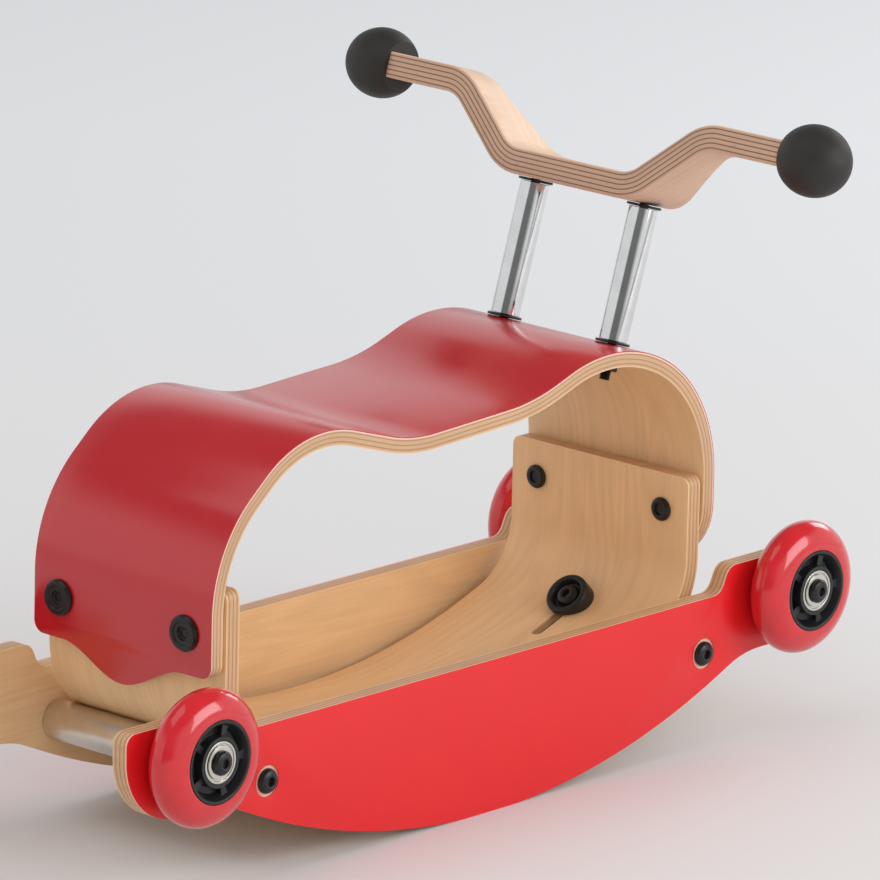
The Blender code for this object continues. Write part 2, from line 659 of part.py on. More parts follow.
def make_shell_fasteners():
    shank = SHELL_BOLT_DIAMETER / 2
    cap = SHELL_BOLT_HEAD_DIAMETER / 2
    tall = SHELL_BOLT_HEAD_HEIGHT
    dimple = SHELL_BOLT_DIMPLE_DIAMETER / 2
    bore = shank + PLAY
    sleeve = SHELL_NUT_SLEEVE_DIAMETER / 2
    rim = SHELL_NUT_HEAD_DIAMETER / 2
    nut_tall = SHELL_NUT_HEAD_HEIGHT
    roof = nut_tall - SHELL_NUT_CAP
    nut_profile = [(0, nut_tall), (0, roof), (bore, roof), (bore, -SHELL_NUT_SLEEVE_LENGTH),
                   (sleeve, -SHELL_NUT_SLEEVE_LENGTH), (sleeve, 0), (rim, 0), (rim, nut_tall / 2),
                   (rim - nut_tall / 2, nut_tall)]
    ring = [(bore, 0), (SPACER_DIAMETER / 2, 0), (SPACER_DIAMETER / 2, SPACER_HEIGHT),
            (bore, SPACER_HEIGHT)]
    reach = SHELL_PLY + stand_off + TRAY_PLY
    bolt_profile = [(0, -reach), (shank, -reach), (shank, 0), (cap, 0), (cap, tall / 2),
                    (cap - tall / 2, tall), (dimple, tall), (dimple, tall / 3), (0, tall / 3)]
    for end, way in ENDS:
        for side, hand in SIDES:
            across = hand * bolt_y
            bolt = turned(f"shell_bolt_{end}_{side}", bolt_profile, BLACK_STEEL, ROUND_SIDES)
            place(bolt, (way * (shell_face + GAP), across, bolt_height[way]), (way, 0, 0))
            nut = turned(f"shell_nut_{end}_{side}", nut_profile, BLACK_STEEL, SMALL_SIDES)
            place(nut, (way * (UPRIGHT - GAP), across, bolt_height[way]), (-way, 0, 0))
            spacer = turned(f"shell_spacer_{end}_{side}", ring, BLACK_NYLON, SMALL_SIDES)
            place(spacer, (way * (UPRIGHT + TRAY_PLY + GAP), across, bolt_height[way]),
                  (way, 0, 0))


def make_posts():
    lower_washer = GAP
    post_start = lower_washer + WASHER_HEIGHT + GAP
    upper_washer = post_start + POST_LENGTH + GAP
    outer = POST_DIAMETER / 2
    inner = outer - POST_WALL
    tube = [(inner, 0), (outer, 0), (outer, POST_LENGTH), (inner, POST_LENGTH)]
    bore = ROD_DIAMETER / 2 + PLAY
    rim = WASHER_DIAMETER / 2
    disc = [(bore, 0), (rim, 0), (rim, WASHER_HEIGHT), (bore, WASHER_HEIGHT)]
    nut_top = -(SHELL_PLY + 2 * GAP)
    bottom = nut_top - NUT_HEIGHT - ROD_TAIL
    top = handle_start + ROD_BITE
    thread = ROD_DIAMETER / 2
    rod = [(0, bottom), (thread, bottom), (thread, top), (0, top)]
    for side, hand in SIDES:
        for level, height in (("lower", lower_washer), ("upper", upper_washer)):
            washer = turned(f"post_washer_{level}_{side}", disc, BLACK_STEEL, ROUND_SIDES)
            place(washer, post_point(hand, height), post_axis)
        place(turned(f"post_{side}", tube, CHROME, ROUND_SIDES), post_point(hand, post_start),
              post_axis)
        place(turned(f"post_rod_{side}", rod, BLACK_STEEL, SMALL_SIDES), post_point(hand, 0),
              post_axis)
        nut = prism(f"post_nut_{side}", circle(NUT_ACROSS_FLATS / math.sqrt(3), 6), -NUT_HEIGHT, 0,
                    BLACK_STEEL)
        place(nut, post_point(hand, nut_top), post_axis)
        drill(nut, f"post_nut_hole_{side}", 2 * bore, post_point(hand, nut_top - 2 * NUT_HEIGHT),
              post_axis, 3 * NUT_HEIGHT)


# How far the handlebar's rear and front edges lie from the posts' line
def handle_edges(out):
    share = (out - HANDLE_TAPER_START) / (HANDLE_TAPER_END - HANDLE_TAPER_START)
    share = min(1.0, max(0.0, share))
    blend = (1 - math.cos(math.pi * share)) / 2
    rear = HANDLE_REAR_EDGE + (HANDLE_TIP_REAR - HANDLE_REAR_EDGE) * blend
    front = HANDLE_FRONT_EDGE + (HANDLE_TIP_FRONT - HANDLE_FRONT_EDGE) * blend
    return -rear, front


def make_handlebar():
    lower_knee = post_y + HANDLE_KNEE_REACH
    upper_knee = lower_knee + HANDLE_RISE / math.tan(HANDLE_SLOPE)
    tip = GRIP_SPREAD / 2 - GRIP_MOUTH + GRIP_ENGAGEMENT
    half = divided(bent_path([
        (0, 0, 0), (lower_knee, 0, HANDLE_KNEE_RADIUS),
        (upper_knee, HANDLE_RISE, HANDLE_KNEE_RADIUS), (tip, HANDLE_RISE, 0),
    ], step=SHEET_STEP), HANDLE_STATION)
    path = [Vector((-point.x, point.y)) for point in half[:0:-1]] + half
    middle = post_point(0, handle_start + HANDLE_PLY / 2)
    stations = []
    for point, heading in zip(path, headings(path)):
        normal = Vector((0, -heading.y, 0)) + post_axis * heading.x
        line = middle + Vector((0, point.x, 0)) + post_axis * point.y
        stations.append((line + normal * HANDLE_PLY / 2, normal, handle_forward,
                         *handle_edges(abs(point.x))))
    handlebar = ribbon("handlebar", stations, HANDLE_PLY, BIRCH)
    for side, hand in SIDES:
        drill(handlebar, f"handle_hole_{side}", ROD_DIAMETER + 2 * PLAY,
              post_point(hand, handle_start - HANDLE_PLY), post_axis, HANDLE_PLY + ROD_BITE + GAP)


# Wooden balls cut flat at the mouth that the handlebar's end goes into
def make_grips():
    radius = GRIP_DIAMETER / 2
    half_length = GRIP_LENGTH / 2
    mouth_angle = math.acos(GRIP_MOUTH / half_length)
    steps = 9
    angles = [mouth_angle + (math.pi - mouth_angle) * i / steps for i in range(steps)]
    profile = [(0, -GRIP_MOUTH)]
    profile += [(radius * math.sin(angle), -half_length * math.cos(angle)) for angle in angles]
    profile += [(0, half_length)]
    rear, front = handle_edges(GRIP_SPREAD / 2)
    wide = (front - rear) / 2 + PLAY
    thick = HANDLE_PLY / 2 + PLAY
    outline = [(-wide, -thick), (wide, -thick), (wide, thick), (-wide, thick)]
    middle = (post_point(0, handle_start + HANDLE_PLY / 2 + HANDLE_RISE)
              + handle_forward * (rear + front) / 2)
    for side, hand in SIDES:
        across = Vector((0, hand, 0))
        grip = turned(f"grip_{side}", profile, BLACK_WOOD, ROUND_SIDES)
        place(grip, middle + across * GRIP_SPREAD / 2, across)
        pocket = prism(f"grip_pocket_{side}", outline, -GRIP_LENGTH, GRIP_ENGAGEMENT + GAP,
                       BLACK_WOOD)
        frame = Matrix((-handle_forward * hand, post_axis, across)).transposed().to_4x4()
        mouth = middle + across * (GRIP_SPREAD / 2 - GRIP_MOUTH)
        pocket.matrix_world = Matrix.Translation(mouth) @ frame
        cut(grip, pocket)


# Half an ellipse from one side of the tyre to the other, closed by its seat on the hub
def tyre_profile():
    base = HUB_DIAMETER / 2 + GAP
    half = TYRE_WIDTH / 2
    crown = TYRE_DIAMETER / 2 - base
    steps = 8
    angles = [math.pi * i / steps for i in range(steps + 1)]
    return [(base + crown * math.sin(angle), -half * math.cos(angle)) for angle in angles]


# Hub with a dished face: a ring-shaped recess crossed by spokes, made on rings and rays
def make_hub_pattern():
    bore = BEARING_DIAMETER / 2 + GAP
    rim = HUB_DIAMETER / 2
    boss = bore + HUB_BOSS_WALL
    lip = rim - HUB_LIP
    floor = HUB_FLOOR_DIAMETER / 2
    cone = lip + (floor - lip) * HUB_SPOKE_DROP / HUB_RECESS_DEPTH
    middle = hub_face - HUB_SPOKE_DROP
    low = hub_face - HUB_RECESS_DEPTH
    profile = [(boss, middle), (boss, low), (floor, low), (cone, middle), (lip, hub_face),
               (rim, hub_face), (rim, -hub_face), (bore, -hub_face), (bore, hub_face),
               (boss, hub_face)]
    half_spoke = HUB_SPOKE_WIDTH / (boss + floor)
    pocket = 2 * math.pi / HUB_SPOKES - 2 * half_spoke
    pocket_steps = 5
    rays = []
    for spoke in range(HUB_SPOKES):
        angle = 2 * math.pi * spoke / HUB_SPOKES
        rays.append((angle - half_spoke, False))
        rays += [(angle + half_spoke + pocket * i / pocket_steps, True)
                 for i in range(pocket_steps)]
    bm = bmesh.new()
    rings = [[bm.verts.new((radius * math.cos(angle), radius * math.sin(angle), height))
              for angle, is_open in rays] for radius, height in profile]
    for i, (angle, is_open) in enumerate(rays):
        j = (i + 1) % len(rays)
        for k in range(len(rings)):
            if is_open or k > 2:
                first, second = rings[k], rings[(k + 1) % len(rings)]
                bm.faces.new((first[i], first[j], second[j], second[i]))
        if not is_open:
            bm.faces.new((rings[0][i], rings[0][j], rings[3][j], rings[3][i]))
            for ray in (i, j):
                bm.faces.new([rings[k][ray] for k in range(4)])
    return finish("hub_pattern", bm, BLACK_NYLON)


# Wheel pieces share an axis: their local +Z points out from the panel
def make_wheels():
    outer = BEARING_DIAMETER / 2
    lip = outer - BEARING_LIP
    sleeve = SLEEVE_DIAMETER / 2
    inner = sleeve + GAP
    dish = hub_face - BEARING_DISH
    seat = dish + GAP
    flange = SLEEVE_FLANGE_DIAMETER / 2
    flange_top = seat + SLEEVE_FLANGE
    hollow = AXLE_DIAMETER / 2 + PLAY
    foot = GAP - WHEEL_STAND_OFF
    patterns = {
        "tyre": turned("tyre_pattern", tyre_profile(), RED_RUBBER, TYRE_SIDES),
        "hub": make_hub_pattern(),
        "bearing": turned("bearing_pattern", [
            (inner, -dish), (lip, -dish), (lip, -hub_face), (outer, -hub_face),
            (outer, hub_face), (lip, hub_face), (lip, dish), (inner, dish),
        ], SATIN_METAL, ROUND_SIDES),
        "axle_sleeve": turned("axle_sleeve_pattern", [
            (hollow, foot), (sleeve, foot), (sleeve, seat), (flange, seat),
            (flange, flange_top), (hollow, flange_top),
        ], BRIGHT_STEEL, ROUND_SIDES),
    }
    head = flange_top + GAP
    for end, way in ENDS:
        for side, hand in SIDES:
            centre = Vector((way * WHEELBASE / 2, hand * wheel_y, AXLE_HEIGHT))
            for name, pattern in patterns.items():
                place(copy_of(pattern, f"{name}_{end}_{side}"), centre, (0, hand, 0))
            bolt = socket_bolt(f"axle_bolt_{end}_{side}", AXLE_DIAMETER, AXLE_HEAD_DIAMETER,
                               AXLE_HEAD_HEIGHT, head + WHEEL_STAND_OFF + PANEL_PLY)
            place(bolt, centre + Vector((0, hand * head, 0)), (0, hand, 0))
    for pattern in patterns.values():
        bpy.data.objects.remove(pattern)


make_shell()
make_tray()
for side, hand in SIDES:
    make_panel(side, hand)
make_cross_bars()
make_knobs()
make_panel_screws()
make_shell_fasteners()
make_posts()
make_handlebar()
make_grips()
make_wheels()
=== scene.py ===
# Looks of the rocking ride-on toy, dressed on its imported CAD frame.
# Metres. +X is the handlebar end, +Y the rider's left, +Z up, the floor at Z = 0.

import math

import bmesh
import bpy
from mathutils import Matrix, Vector


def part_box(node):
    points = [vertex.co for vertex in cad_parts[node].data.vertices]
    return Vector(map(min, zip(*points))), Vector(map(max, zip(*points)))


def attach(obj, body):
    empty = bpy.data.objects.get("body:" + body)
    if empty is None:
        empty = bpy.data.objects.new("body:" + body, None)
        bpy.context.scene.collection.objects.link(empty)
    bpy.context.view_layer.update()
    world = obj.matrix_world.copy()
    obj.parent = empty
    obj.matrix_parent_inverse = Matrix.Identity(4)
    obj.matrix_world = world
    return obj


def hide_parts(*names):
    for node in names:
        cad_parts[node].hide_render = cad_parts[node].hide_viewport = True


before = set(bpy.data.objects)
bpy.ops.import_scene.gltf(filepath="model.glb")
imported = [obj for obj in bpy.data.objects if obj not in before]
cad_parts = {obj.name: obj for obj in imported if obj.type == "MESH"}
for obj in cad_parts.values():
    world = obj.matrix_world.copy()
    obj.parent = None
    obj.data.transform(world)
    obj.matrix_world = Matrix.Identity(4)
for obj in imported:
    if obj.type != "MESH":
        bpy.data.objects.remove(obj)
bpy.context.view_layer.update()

ENDS = (("front", 1), ("rear", -1))
SIDES = (("left", 1), ("right", -1))

# The photograph's camera, solved for an image 880 pixels wide and high
IMAGE_SIZE = 880
CAMERA_AZIMUTH = math.radians(-47.661)
CAMERA_ELEVATION = math.radians(15.045)
CAMERA_ROLL = math.radians(1.306)
CAMERA_TARGET = Vector((0.0200, -0.0219, 0.185))
CAMERA_DISTANCE = 5.0245
FOCAL_PIXELS = 9694.67
OPTICAL_CENTRE = (439.95, 438.68)
SENSOR_WIDTH = 36.0
VIEW_DEPTH = 60.0

# Gap between pieces that touch, as in the CAD
GAP = 0.0003

# Sheets of ply: their thickness and veneers, how deep the red laminate and the pale line under it
# reach (its core, and a painted highlight of the eased edge), and how far their edges are eased
SHELL_PLY = 0.0085
TRAY_PLY = 0.0095
PANEL_PLY = 0.010
HANDLE_PLY = 0.014
SHEET_VENEERS = 7
HANDLE_VENEERS = 11
LAMINATE = 0.0005
CORE_AND_HIGHLIGHT_LINE = 0.0012
EDGE_ROUND = 0.0012
TRAY_EDGE_ROUND = 0.00096
PANEL_ROUND = 0.0009

# Seat shell: corners (x, z) and bend radii of its outer face, as in the CAD
TAIL_BEND = (0.1732, 0.077)
SHELL_BENDS = (
    (-0.1251, 0.2287, 0.070),
    (-0.0452, 0.2043, 0.105),
    (0.0470, 0.2080, 0.129),
    (0.1107, 0.2301, 0.092),
)
NOSE_BEND = (0.1935, 0.080)
NOSE_CORNER = 0.0355
TONGUE_DEPTH = 0.0149
TONGUE_REACH = 0.043
SHOULDER_ROUND = 0.0065

# Tray, and its slots under the knobs
TRAY_BEND_RADIUS = 0.038
TRAY_FLOOR_HEIGHT = 0.036
TRAY_FLOOR_RADIUS = 0.400
TRAY_FLOOR_SLOPE = math.radians(21.4)
TRAY_CORNER = 0.005
TRAY_TOP_FRONT = 0.1432
SLOT_START = 0.121
SLOT_WIDTH = 0.0066

# Side panels, and the round recesses that their screws sit in
ROCKER_RADIUS = 0.443
ROCKER_FLAT = 0.036
PANEL_TOP = 0.0818
EAR_BOTTOM = 0.0466
EAR_STEP_REACH = 0.0447
EAR_STEP_RUN = 0.0067
EAR_STEP_RADIUS = 0.0085
EAR_TIP_RADIUS = 0.0062
EAR_HEEL_RADIUS = 0.036
EAR_WAIST_RADIUS = 0.060
SCREW_SEAT_DIAMETER = 0.0166
SCREW_SEAT_DEPTH = 0.0010

# Socket bolts: radius and length of the shank, radius and height of the head
PANEL_SCREW = (0.003, 0.030, 0.0066, 0.0034)
KNOB_BOLT = (0.003, 0.026, 0.0065, 0.0034)
AXLE_BOLT = (0.004, 0.026, 0.0064, 0.0027)

# Heads of bolts and nuts from the underside up: corners as shares of the head's radius and
# height, with their fillets
BUTTON_HEAD = (
    (1.00, 0.00, 0.0002), (1.00, 0.35, 0.0008), (0.84, 0.80, 0.0015), (0.55, 1.00, 0.0010),
    (0.00, 1.00, 0.0),
)
RIMMED_HEAD = (
    (1.00, 0.00, 0.0003), (1.00, 0.45, 0.0006), (0.88, 1.00, 0.0007), (0.66, 1.00, 0.0004),
    (0.62, 0.72, 0.0003), (0.40, 0.78, 0.0003), (0.34, 0.30, 0.0), (0.00, 0.30, 0.0),
)
CAP_HEAD = (
    (1.00, 0.00, 0.0003), (1.00, 0.55, 0.0008), (0.80, 1.00, 0.0008), (0.52, 1.00, 0.0004),
    (0.46, 0.40, 0.0002), (0.00, 0.40, 0.0),
)

# Sockets in heads: radius to the corners and height of the floor, as shares of the head's
BUTTON_SOCKET = (0.43, 0.40)
RIMMED_SOCKET = (0.28, 0.05)
SOCKET_TURN = math.radians(15)

# Connector bolts and cap nuts that join shell and tray, and the holes of washers and spacers
SHELL_BOLT_RADIUS = 0.003
SHELL_HEAD_TALL = 0.0026
NUT_HEAD_TALL = 0.0024
NUT_SLEEVE_RADIUS = 0.0044
NUT_SLEEVE_LENGTH = 0.0080
HOLE_RADIUS = 0.0033

# Knobs that clamp the tray on its cross bars
KNOB_ANGLE = math.radians(45)
KNOB_DIAMETER = 0.024
KNOB_HEIGHT = 0.0088
KNOB_RECESS_DIAMETER = 0.0156
KNOB_RECESS_DEPTH = 0.0038
KNOB_RECESS_FLARE = 0.0012
KNOB_ROUND = 0.0030
KNOB_MOUTH_ROUND = 0.0010
KNOB_FLOOR_ROUND = 0.0004

# Posts, with their washers, threaded rods and nuts. A rod enters the handlebar by a share of
# its thickness.
POST_LEAN = math.radians(17.5)
POST_SPACING = 0.0766
POST_FOOT = 0.1344
POST_LENGTH = 0.0714
POST_DIAMETER = 0.0156
POST_WALL = 0.0018
WASHER_DIAMETER = 0.0186
WASHER_HEIGHT = 0.0014
WASHER_ROUND = 0.0004
ROD_RADIUS = 0.003
ROD_TAIL = 0.005
ROD_ENTRY = 0.6
ROD_SIDES = 32
THREAD_PITCH = 0.001
THREAD_DEPTH = 0.0005
POST_NUT_HEIGHT = 0.005
POST_NUT_ACROSS_FLATS = 0.010
POST_NUT_EASE = 0.0005

# Handlebar and grips
HANDLE_RISE = 0.0347
HANDLE_SLOPE = math.radians(40)
HANDLE_KNEE = 0.0445
HANDLE_KNEE_RADIUS = 0.026
HANDLE_REAR_EDGE = 0.0235
HANDLE_FRONT_EDGE = 0.0235
HANDLE_TIP_REAR = 0.0225
HANDLE_TIP_FRONT = -0.0005
HANDLE_TAPER_START = 0.026
HANDLE_TAPER_END = 0.092
GRIP_SPREAD = 0.3048
GRIP_DIAMETER = 0.0382
GRIP_LENGTH = 0.0410
GRIP_MOUTH = 0.014
GRIP_ENGAGEMENT = 0.019

# Wheels
HUB_DIAMETER = 0.0434
HUB_WIDTH = 0.0226
HUB_BOSS_WALL = 0.0020
HUB_LIP = 0.0015
HUB_FLOOR_DIAMETER = 0.0340
HUB_RECESS_DEPTH = 0.0062
HUB_SPOKES = 5
HUB_SPOKE_WIDTH = 0.0036
HUB_SPOKE_DROP = 0.0026
HUB_EASE = 0.0003
BEARING_DIAMETER = 0.022
BEARING_LIP = 0.0013
BEARING_DISH = 0.0007
SLEEVE_DIAMETER = 0.0116
SLEEVE_FLANGE_DIAMETER = 0.0176
SLEEVE_FLANGE = 0.0008
TYRE_PARTING = 0.00008
TYRE_SIDES = 128

# Fillets of small turned edges, steps of the fine meshes, and the angles from which an edge
# shows as sharp
TINY_ROUND = 0.0002
SMALL_ROUND = 0.0003
BAR_ROUND = 0.0006
BEND_STEP = math.radians(2)
PANEL_STEP = math.radians(6)
STATION = 0.006
TURNED_SIDES = 96
SHEET_SHARP = math.radians(40)
TURNED_SHARP = math.radians(50)
HEX_SHARP = math.radians(30)
HUB_SHARP = math.radians(28)

# Birch ply. Scales of its noises, per metre along a sheet, across it and through it.
WANDER_SCALE = (14.0, 14.0, 60.0)
MOTTLE_SCALE = (9.0, 30.0, 8.0)
GROWTH_SCALE = (3.0, 20.0, 6.0)
STREAK_SCALE = (7.0, 520.0, 90.0)
PORE_SCALE = (170.0, 3200.0, 500.0)
END_GRAIN_SCALE = (900.0, 900.0, 700.0)
RING_TURNS = 100.0

# How far veneers wander and how much of the outer ones is kept, in veneers; half the width of a
# dark one's core and fade, as shares of a pair; and the depths over which edges begin
VENEER_WANDER = 0.30
OUTER_VENEER = 0.30
DARK_VENEER = (0.09, 0.17)
EDGE_DEPTH = (0.0004, 0.0008)
EDGE_TINT = (0.74, 0.68, 0.67, 1.0)

# Shares of mottle, streak and rings in the figure, and the ranges that show them and the pores
MOTTLE_SHARE = 0.45
STREAK_SHARE = 0.45
RING_SHARE = 0.10
FIGURE_RANGE = (0.36, 0.64)
PORE_RANGE = (0.60, 0.78)
PORE_DARKNESS = 0.25

# The range that most of a noise lies in, and the roughness that bare wood has over it
NOISE_RANGE = (0.3, 0.7)
WOOD_ROUGHNESS = (0.40, 0.52)


def centre_of(node):
    low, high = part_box(node)
    return (Vector(low) + Vector(high)) / 2


def size_of(node):
    low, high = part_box(node)
    return Vector(high) - Vector(low)


# How far out the outer face of a side panel lies
def panel_face(side, hand):
    low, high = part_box(f"side_panel_{side}")
    return high[1] if hand > 0 else -low[1]


# A colour given as it looks on a screen, 0 to 255, in the shader's own linear values
def screen(red, green, blue):
    linear = []
    for value in (red, green, blue):
        share = value / 255
        linear.append(share / 12.92 if share <= 0.04045 else ((share + 0.055) / 1.055) ** 2.4)
    return (*linear, 1.0)


def dark_of(colour, share):
    return (*[value * share for value in colour[:3]], 1.0)


def feed(tree, socket, value):
    if isinstance(value, bpy.types.NodeSocket):
        tree.links.new(value, socket)
    else:
        socket.default_value = value


def maths(tree, operation, *values):
    node = tree.nodes.new("ShaderNodeMath")
    node.operation = operation
    for socket, value in zip(node.inputs, values):
        feed(tree, socket, value)
    return node.outputs[0]


# A value moved from one range to another, and held inside it
def spread(tree, value, low, high, first=0.0, last=1.0):
    node = tree.nodes.new("ShaderNodeMapRange")
    for socket, setting in zip(node.inputs, (value, low, high, first, last)):
        feed(tree, socket, setting)
    return node.outputs[0]


# Two colours mixed, or with MULTIPLY the first darkened by the second where the share is high
def mixed(tree, share, first, second, blend="MIX"):
    node = tree.nodes.new("ShaderNodeMix")
    node.data_type = "RGBA"
    node.blend_type = blend
    feed(tree, node.inputs[0], share)
    feed(tree, node.inputs[6], first)
    feed(tree, node.inputs[7], second)
    return node.outputs[2]


def mixed_value(tree, share, first, second):
    node = tree.nodes.new("ShaderNodeMix")
    feed(tree, node.inputs[0], share)
    feed(tree, node.inputs[2], first)
    feed(tree, node.inputs[3], second)
    return node.outputs[0]


# Noise on coordinates stretched by a scale per metre along each of their axes
def noise(tree, where, scale, detail=3.0, roughness=0.55):
    stretch = tree.nodes.new("ShaderNodeVectorMath")
    stretch.operation = "MULTIPLY"
    tree.links.new(where, stretch.inputs[0])
    stretch.inputs[1].default_value = scale
    node = tree.nodes.new("ShaderNodeTexNoise")
    node.inputs["Scale"].default_value = 1.0
    node.inputs["Detail"].default_value = detail
    node.inputs["Roughness"].default_value = roughness
    tree.links.new(stretch.outputs[0], node.inputs["Vector"])
    return node.outputs[0]


# A new material and its node tree, with constant values on the shader itself
def new_look(name, **settings):
    look = bpy.data.materials.new(name)
    look.use_nodes = True
    tree = look.node_tree
    shader = tree.nodes["Principled BSDF"]
    for label, value in settings.items():
        shader.inputs[label.replace("_", " ")].default_value = value
    return look, tree


# Give a look its colour, its roughness and the height of its bumps
def finish_look(look, colour, roughness, height, distance, strength=1.0):
    tree = look.node_tree
    shader = tree.nodes["Principled BSDF"]
    node = tree.nodes.new("ShaderNodeBump")
    node.inputs["Distance"].default_value = distance
    node.inputs["Strength"].default_value = strength
    tree.links.new(height, node.inputs["Height"])
    tree.links.new(colour, shader.inputs["Base Color"])
    tree.links.new(roughness, shader.inputs["Roughness"])
    tree.links.new(node.outputs[0], shader.inputs["Normal"])
    return look


def coordinates(tree, kind):
    return tree.nodes.new("ShaderNodeTexCoord").outputs[kind]


def split(tree, vector):
    node = tree.nodes.new("ShaderNodeSeparateXYZ")
    tree.links.new(vector, node.inputs[0])
    return node.outputs


# Birch ply seen on its face and its edges. Each vertex holds where it lies in the flat sheet:
# along the sheet, across it, and how deep it lies under the first face.
def ply_look(name, ply, veneers, tones, laminate=None, **settings):
    light, dark, pore = tones
    look, tree = new_look(name, **settings)
    sheet = tree.nodes.new("ShaderNodeAttribute")
    sheet.attribute_name = "ply"
    where = sheet.outputs["Vector"]
    depth = split(tree, where)[2]

    # Which veneer: wide pale ones with thin dark ones between, all wandering a little
    wander = noise(tree, where, WANDER_SCALE, 2.0)
    wander = maths(tree, "MULTIPLY_ADD", wander, VENEER_WANDER, -VENEER_WANDER / 2)
    level = maths(tree, "MULTIPLY_ADD", depth, veneers / ply, wander)
    level = maths(tree, "MAXIMUM", level, OUTER_VENEER)
    level = maths(tree, "MINIMUM", level, veneers - OUTER_VENEER)
    pair = maths(tree, "FRACT", maths(tree, "MULTIPLY", level, 0.5))
    off_dark = maths(tree, "ABSOLUTE", maths(tree, "SUBTRACT", pair, 0.75))
    crossing = spread(tree, off_dark, *DARK_VENEER, 1.0, 0.0)
    start, full = EDGE_DEPTH
    inside = maths(tree, "MULTIPLY", spread(tree, depth, start, full),
                   spread(tree, depth, ply - start, ply - full))

    # Figure of the face veneer: broad mottling, the long arches of its growth rings, streaks
    # along the grain and short fine pores
    mottle = noise(tree, where, MOTTLE_SCALE, 3.0, 0.6)
    growth = noise(tree, where, GROWTH_SCALE, 1.0, 0.4)
    rings = maths(tree, "SINE", maths(tree, "MULTIPLY", growth, RING_TURNS))
    rings = spread(tree, rings, -1.0, 1.0)
    streak = noise(tree, where, STREAK_SCALE, 4.0, 0.6)
    pores = noise(tree, where, PORE_SCALE, 2.0, 0.5)
    figure = maths(tree, "ADD", maths(tree, "MULTIPLY", mottle, MOTTLE_SHARE),
                   maths(tree, "MULTIPLY", streak, STREAK_SHARE))
    figure = maths(tree, "MULTIPLY_ADD", rings, RING_SHARE, figure)
    figure = spread(tree, figure, *FIGURE_RANGE)
    pale = mixed(tree, figure, dark_of(light, 0.85), light)
    pale = mixed(tree, spread(tree, pores, *PORE_RANGE, 0.0, PORE_DARKNESS), pale, pore)
    end_grain = noise(tree, where, END_GRAIN_SCALE, 2.0)
    cross = mixed(tree, spread(tree, end_grain, *NOISE_RANGE), dark_of(dark, 0.90), dark)
    wood = mixed(tree, crossing, pale, cross)
    wood = mixed(tree, inside, wood, EDGE_TINT, "MULTIPLY")
    sheen = spread(tree, streak, *NOISE_RANGE, *WOOD_ROUGHNESS)
    if laminate is None:
        return finish_look(look, wood, sheen, streak, 0.00006, 0.6)

    # The laminate is a thin skin; under its edge a pale line, its core and a painted highlight
    colour, roughness = laminate
    cloud = noise(tree, where, (22.0, 22.0, 22.0), 4.0, 0.6)
    skin = mixed(tree, spread(tree, cloud, *NOISE_RANGE), dark_of(colour, 0.96), colour)
    peel = noise(tree, where, (900.0, 900.0, 900.0), 2.0)
    covered = maths(tree, "LESS_THAN", depth, LAMINATE)
    core = maths(tree, "MULTIPLY", maths(tree, "LESS_THAN", depth, CORE_AND_HIGHLIGHT_LINE),
                 maths(tree, "SUBTRACT", 1.0, covered))
    wood = mixed(tree, core, wood, CORE_AND_HIGHLIGHT_PINK)
    gloss = spread(tree, cloud, 0.25, 0.75, roughness - 0.03, roughness + 0.04)
    return finish_look(look, mixed(tree, covered, wood, skin),
                       mixed_value(tree, covered, sheen, gloss),
                       maths(tree, "ADD", streak, peel), 0.00003, 0.35)


# A hard material with a fine grain in its surface and a slight change of gloss
def plain_look(name, colour, roughness, fine, depth, **settings):
    look, tree = new_look(name, **settings)
    where = coordinates(tree, "Object")
    cloud = noise(tree, where, (90.0, 90.0, 90.0), 3.0)
    speck = noise(tree, where, (fine, fine, fine), 2.0)
    shade = mixed(tree, spread(tree, cloud, *NOISE_RANGE), dark_of(colour, 0.88), colour)
    gloss = spread(tree, cloud, *NOISE_RANGE, roughness * 0.88, roughness * 1.12)
    return finish_look(look, shade, gloss, speck, depth)


# Wood as its pale veneers, its dark ones and its pores
BIRCH = (screen(241, 200, 151), screen(198, 156, 116), screen(178, 130, 90))
BAR_BIRCH = (screen(230, 195, 166), screen(150, 112, 84), screen(138, 101, 76))
SEAT_RED = screen(187, 24, 34)
PANEL_RED = screen(226, 26, 32)
# Pale line under the laminate's edge: its core, and a painted highlight of the eased edge
CORE_AND_HIGHLIGHT_PINK = screen(238, 196, 176)

seat_ply = ply_look("seat_ply", SHELL_PLY, SHEET_VENEERS, BIRCH, (SEAT_RED, 0.20),
                    Specular_IOR_Level=0.9)
tray_ply = ply_look("tray_ply", TRAY_PLY, SHEET_VENEERS, BIRCH)
panel_ply = ply_look("panel_ply", PANEL_PLY, SHEET_VENEERS, BIRCH, (PANEL_RED, 0.30))
handle_ply = ply_look("handle_ply", HANDLE_PLY, HANDLE_VENEERS, BAR_BIRCH)
tyre_red = plain_look("tyre_red", screen(211, 30, 40), 0.16, 500.0, 0.000006,
                      Coat_Weight=0.6, Coat_Roughness=0.04)
black_nylon = plain_look("black_nylon", screen(26, 27, 28), 0.42, 2600.0, 0.000030)
black_steel = plain_look("black_steel", screen(36, 36, 36), 0.30, 1800.0, 0.000015, Metallic=0.35)
grip_black = plain_look("grip_black", screen(42, 40, 37), 0.60, 2200.0, 0.000050)
satin_metal = plain_look("satin_metal", screen(230, 225, 215), 0.34, 1500.0, 0.000012,
                         Metallic=1.0)
bright_steel = plain_look("bright_steel", screen(222, 220, 212), 0.22, 1500.0, 0.000008,
                          Metallic=1.0)
chrome = plain_look("chrome", screen(228, 229, 230), 0.07, 900.0, 0.000003, Metallic=1.0)


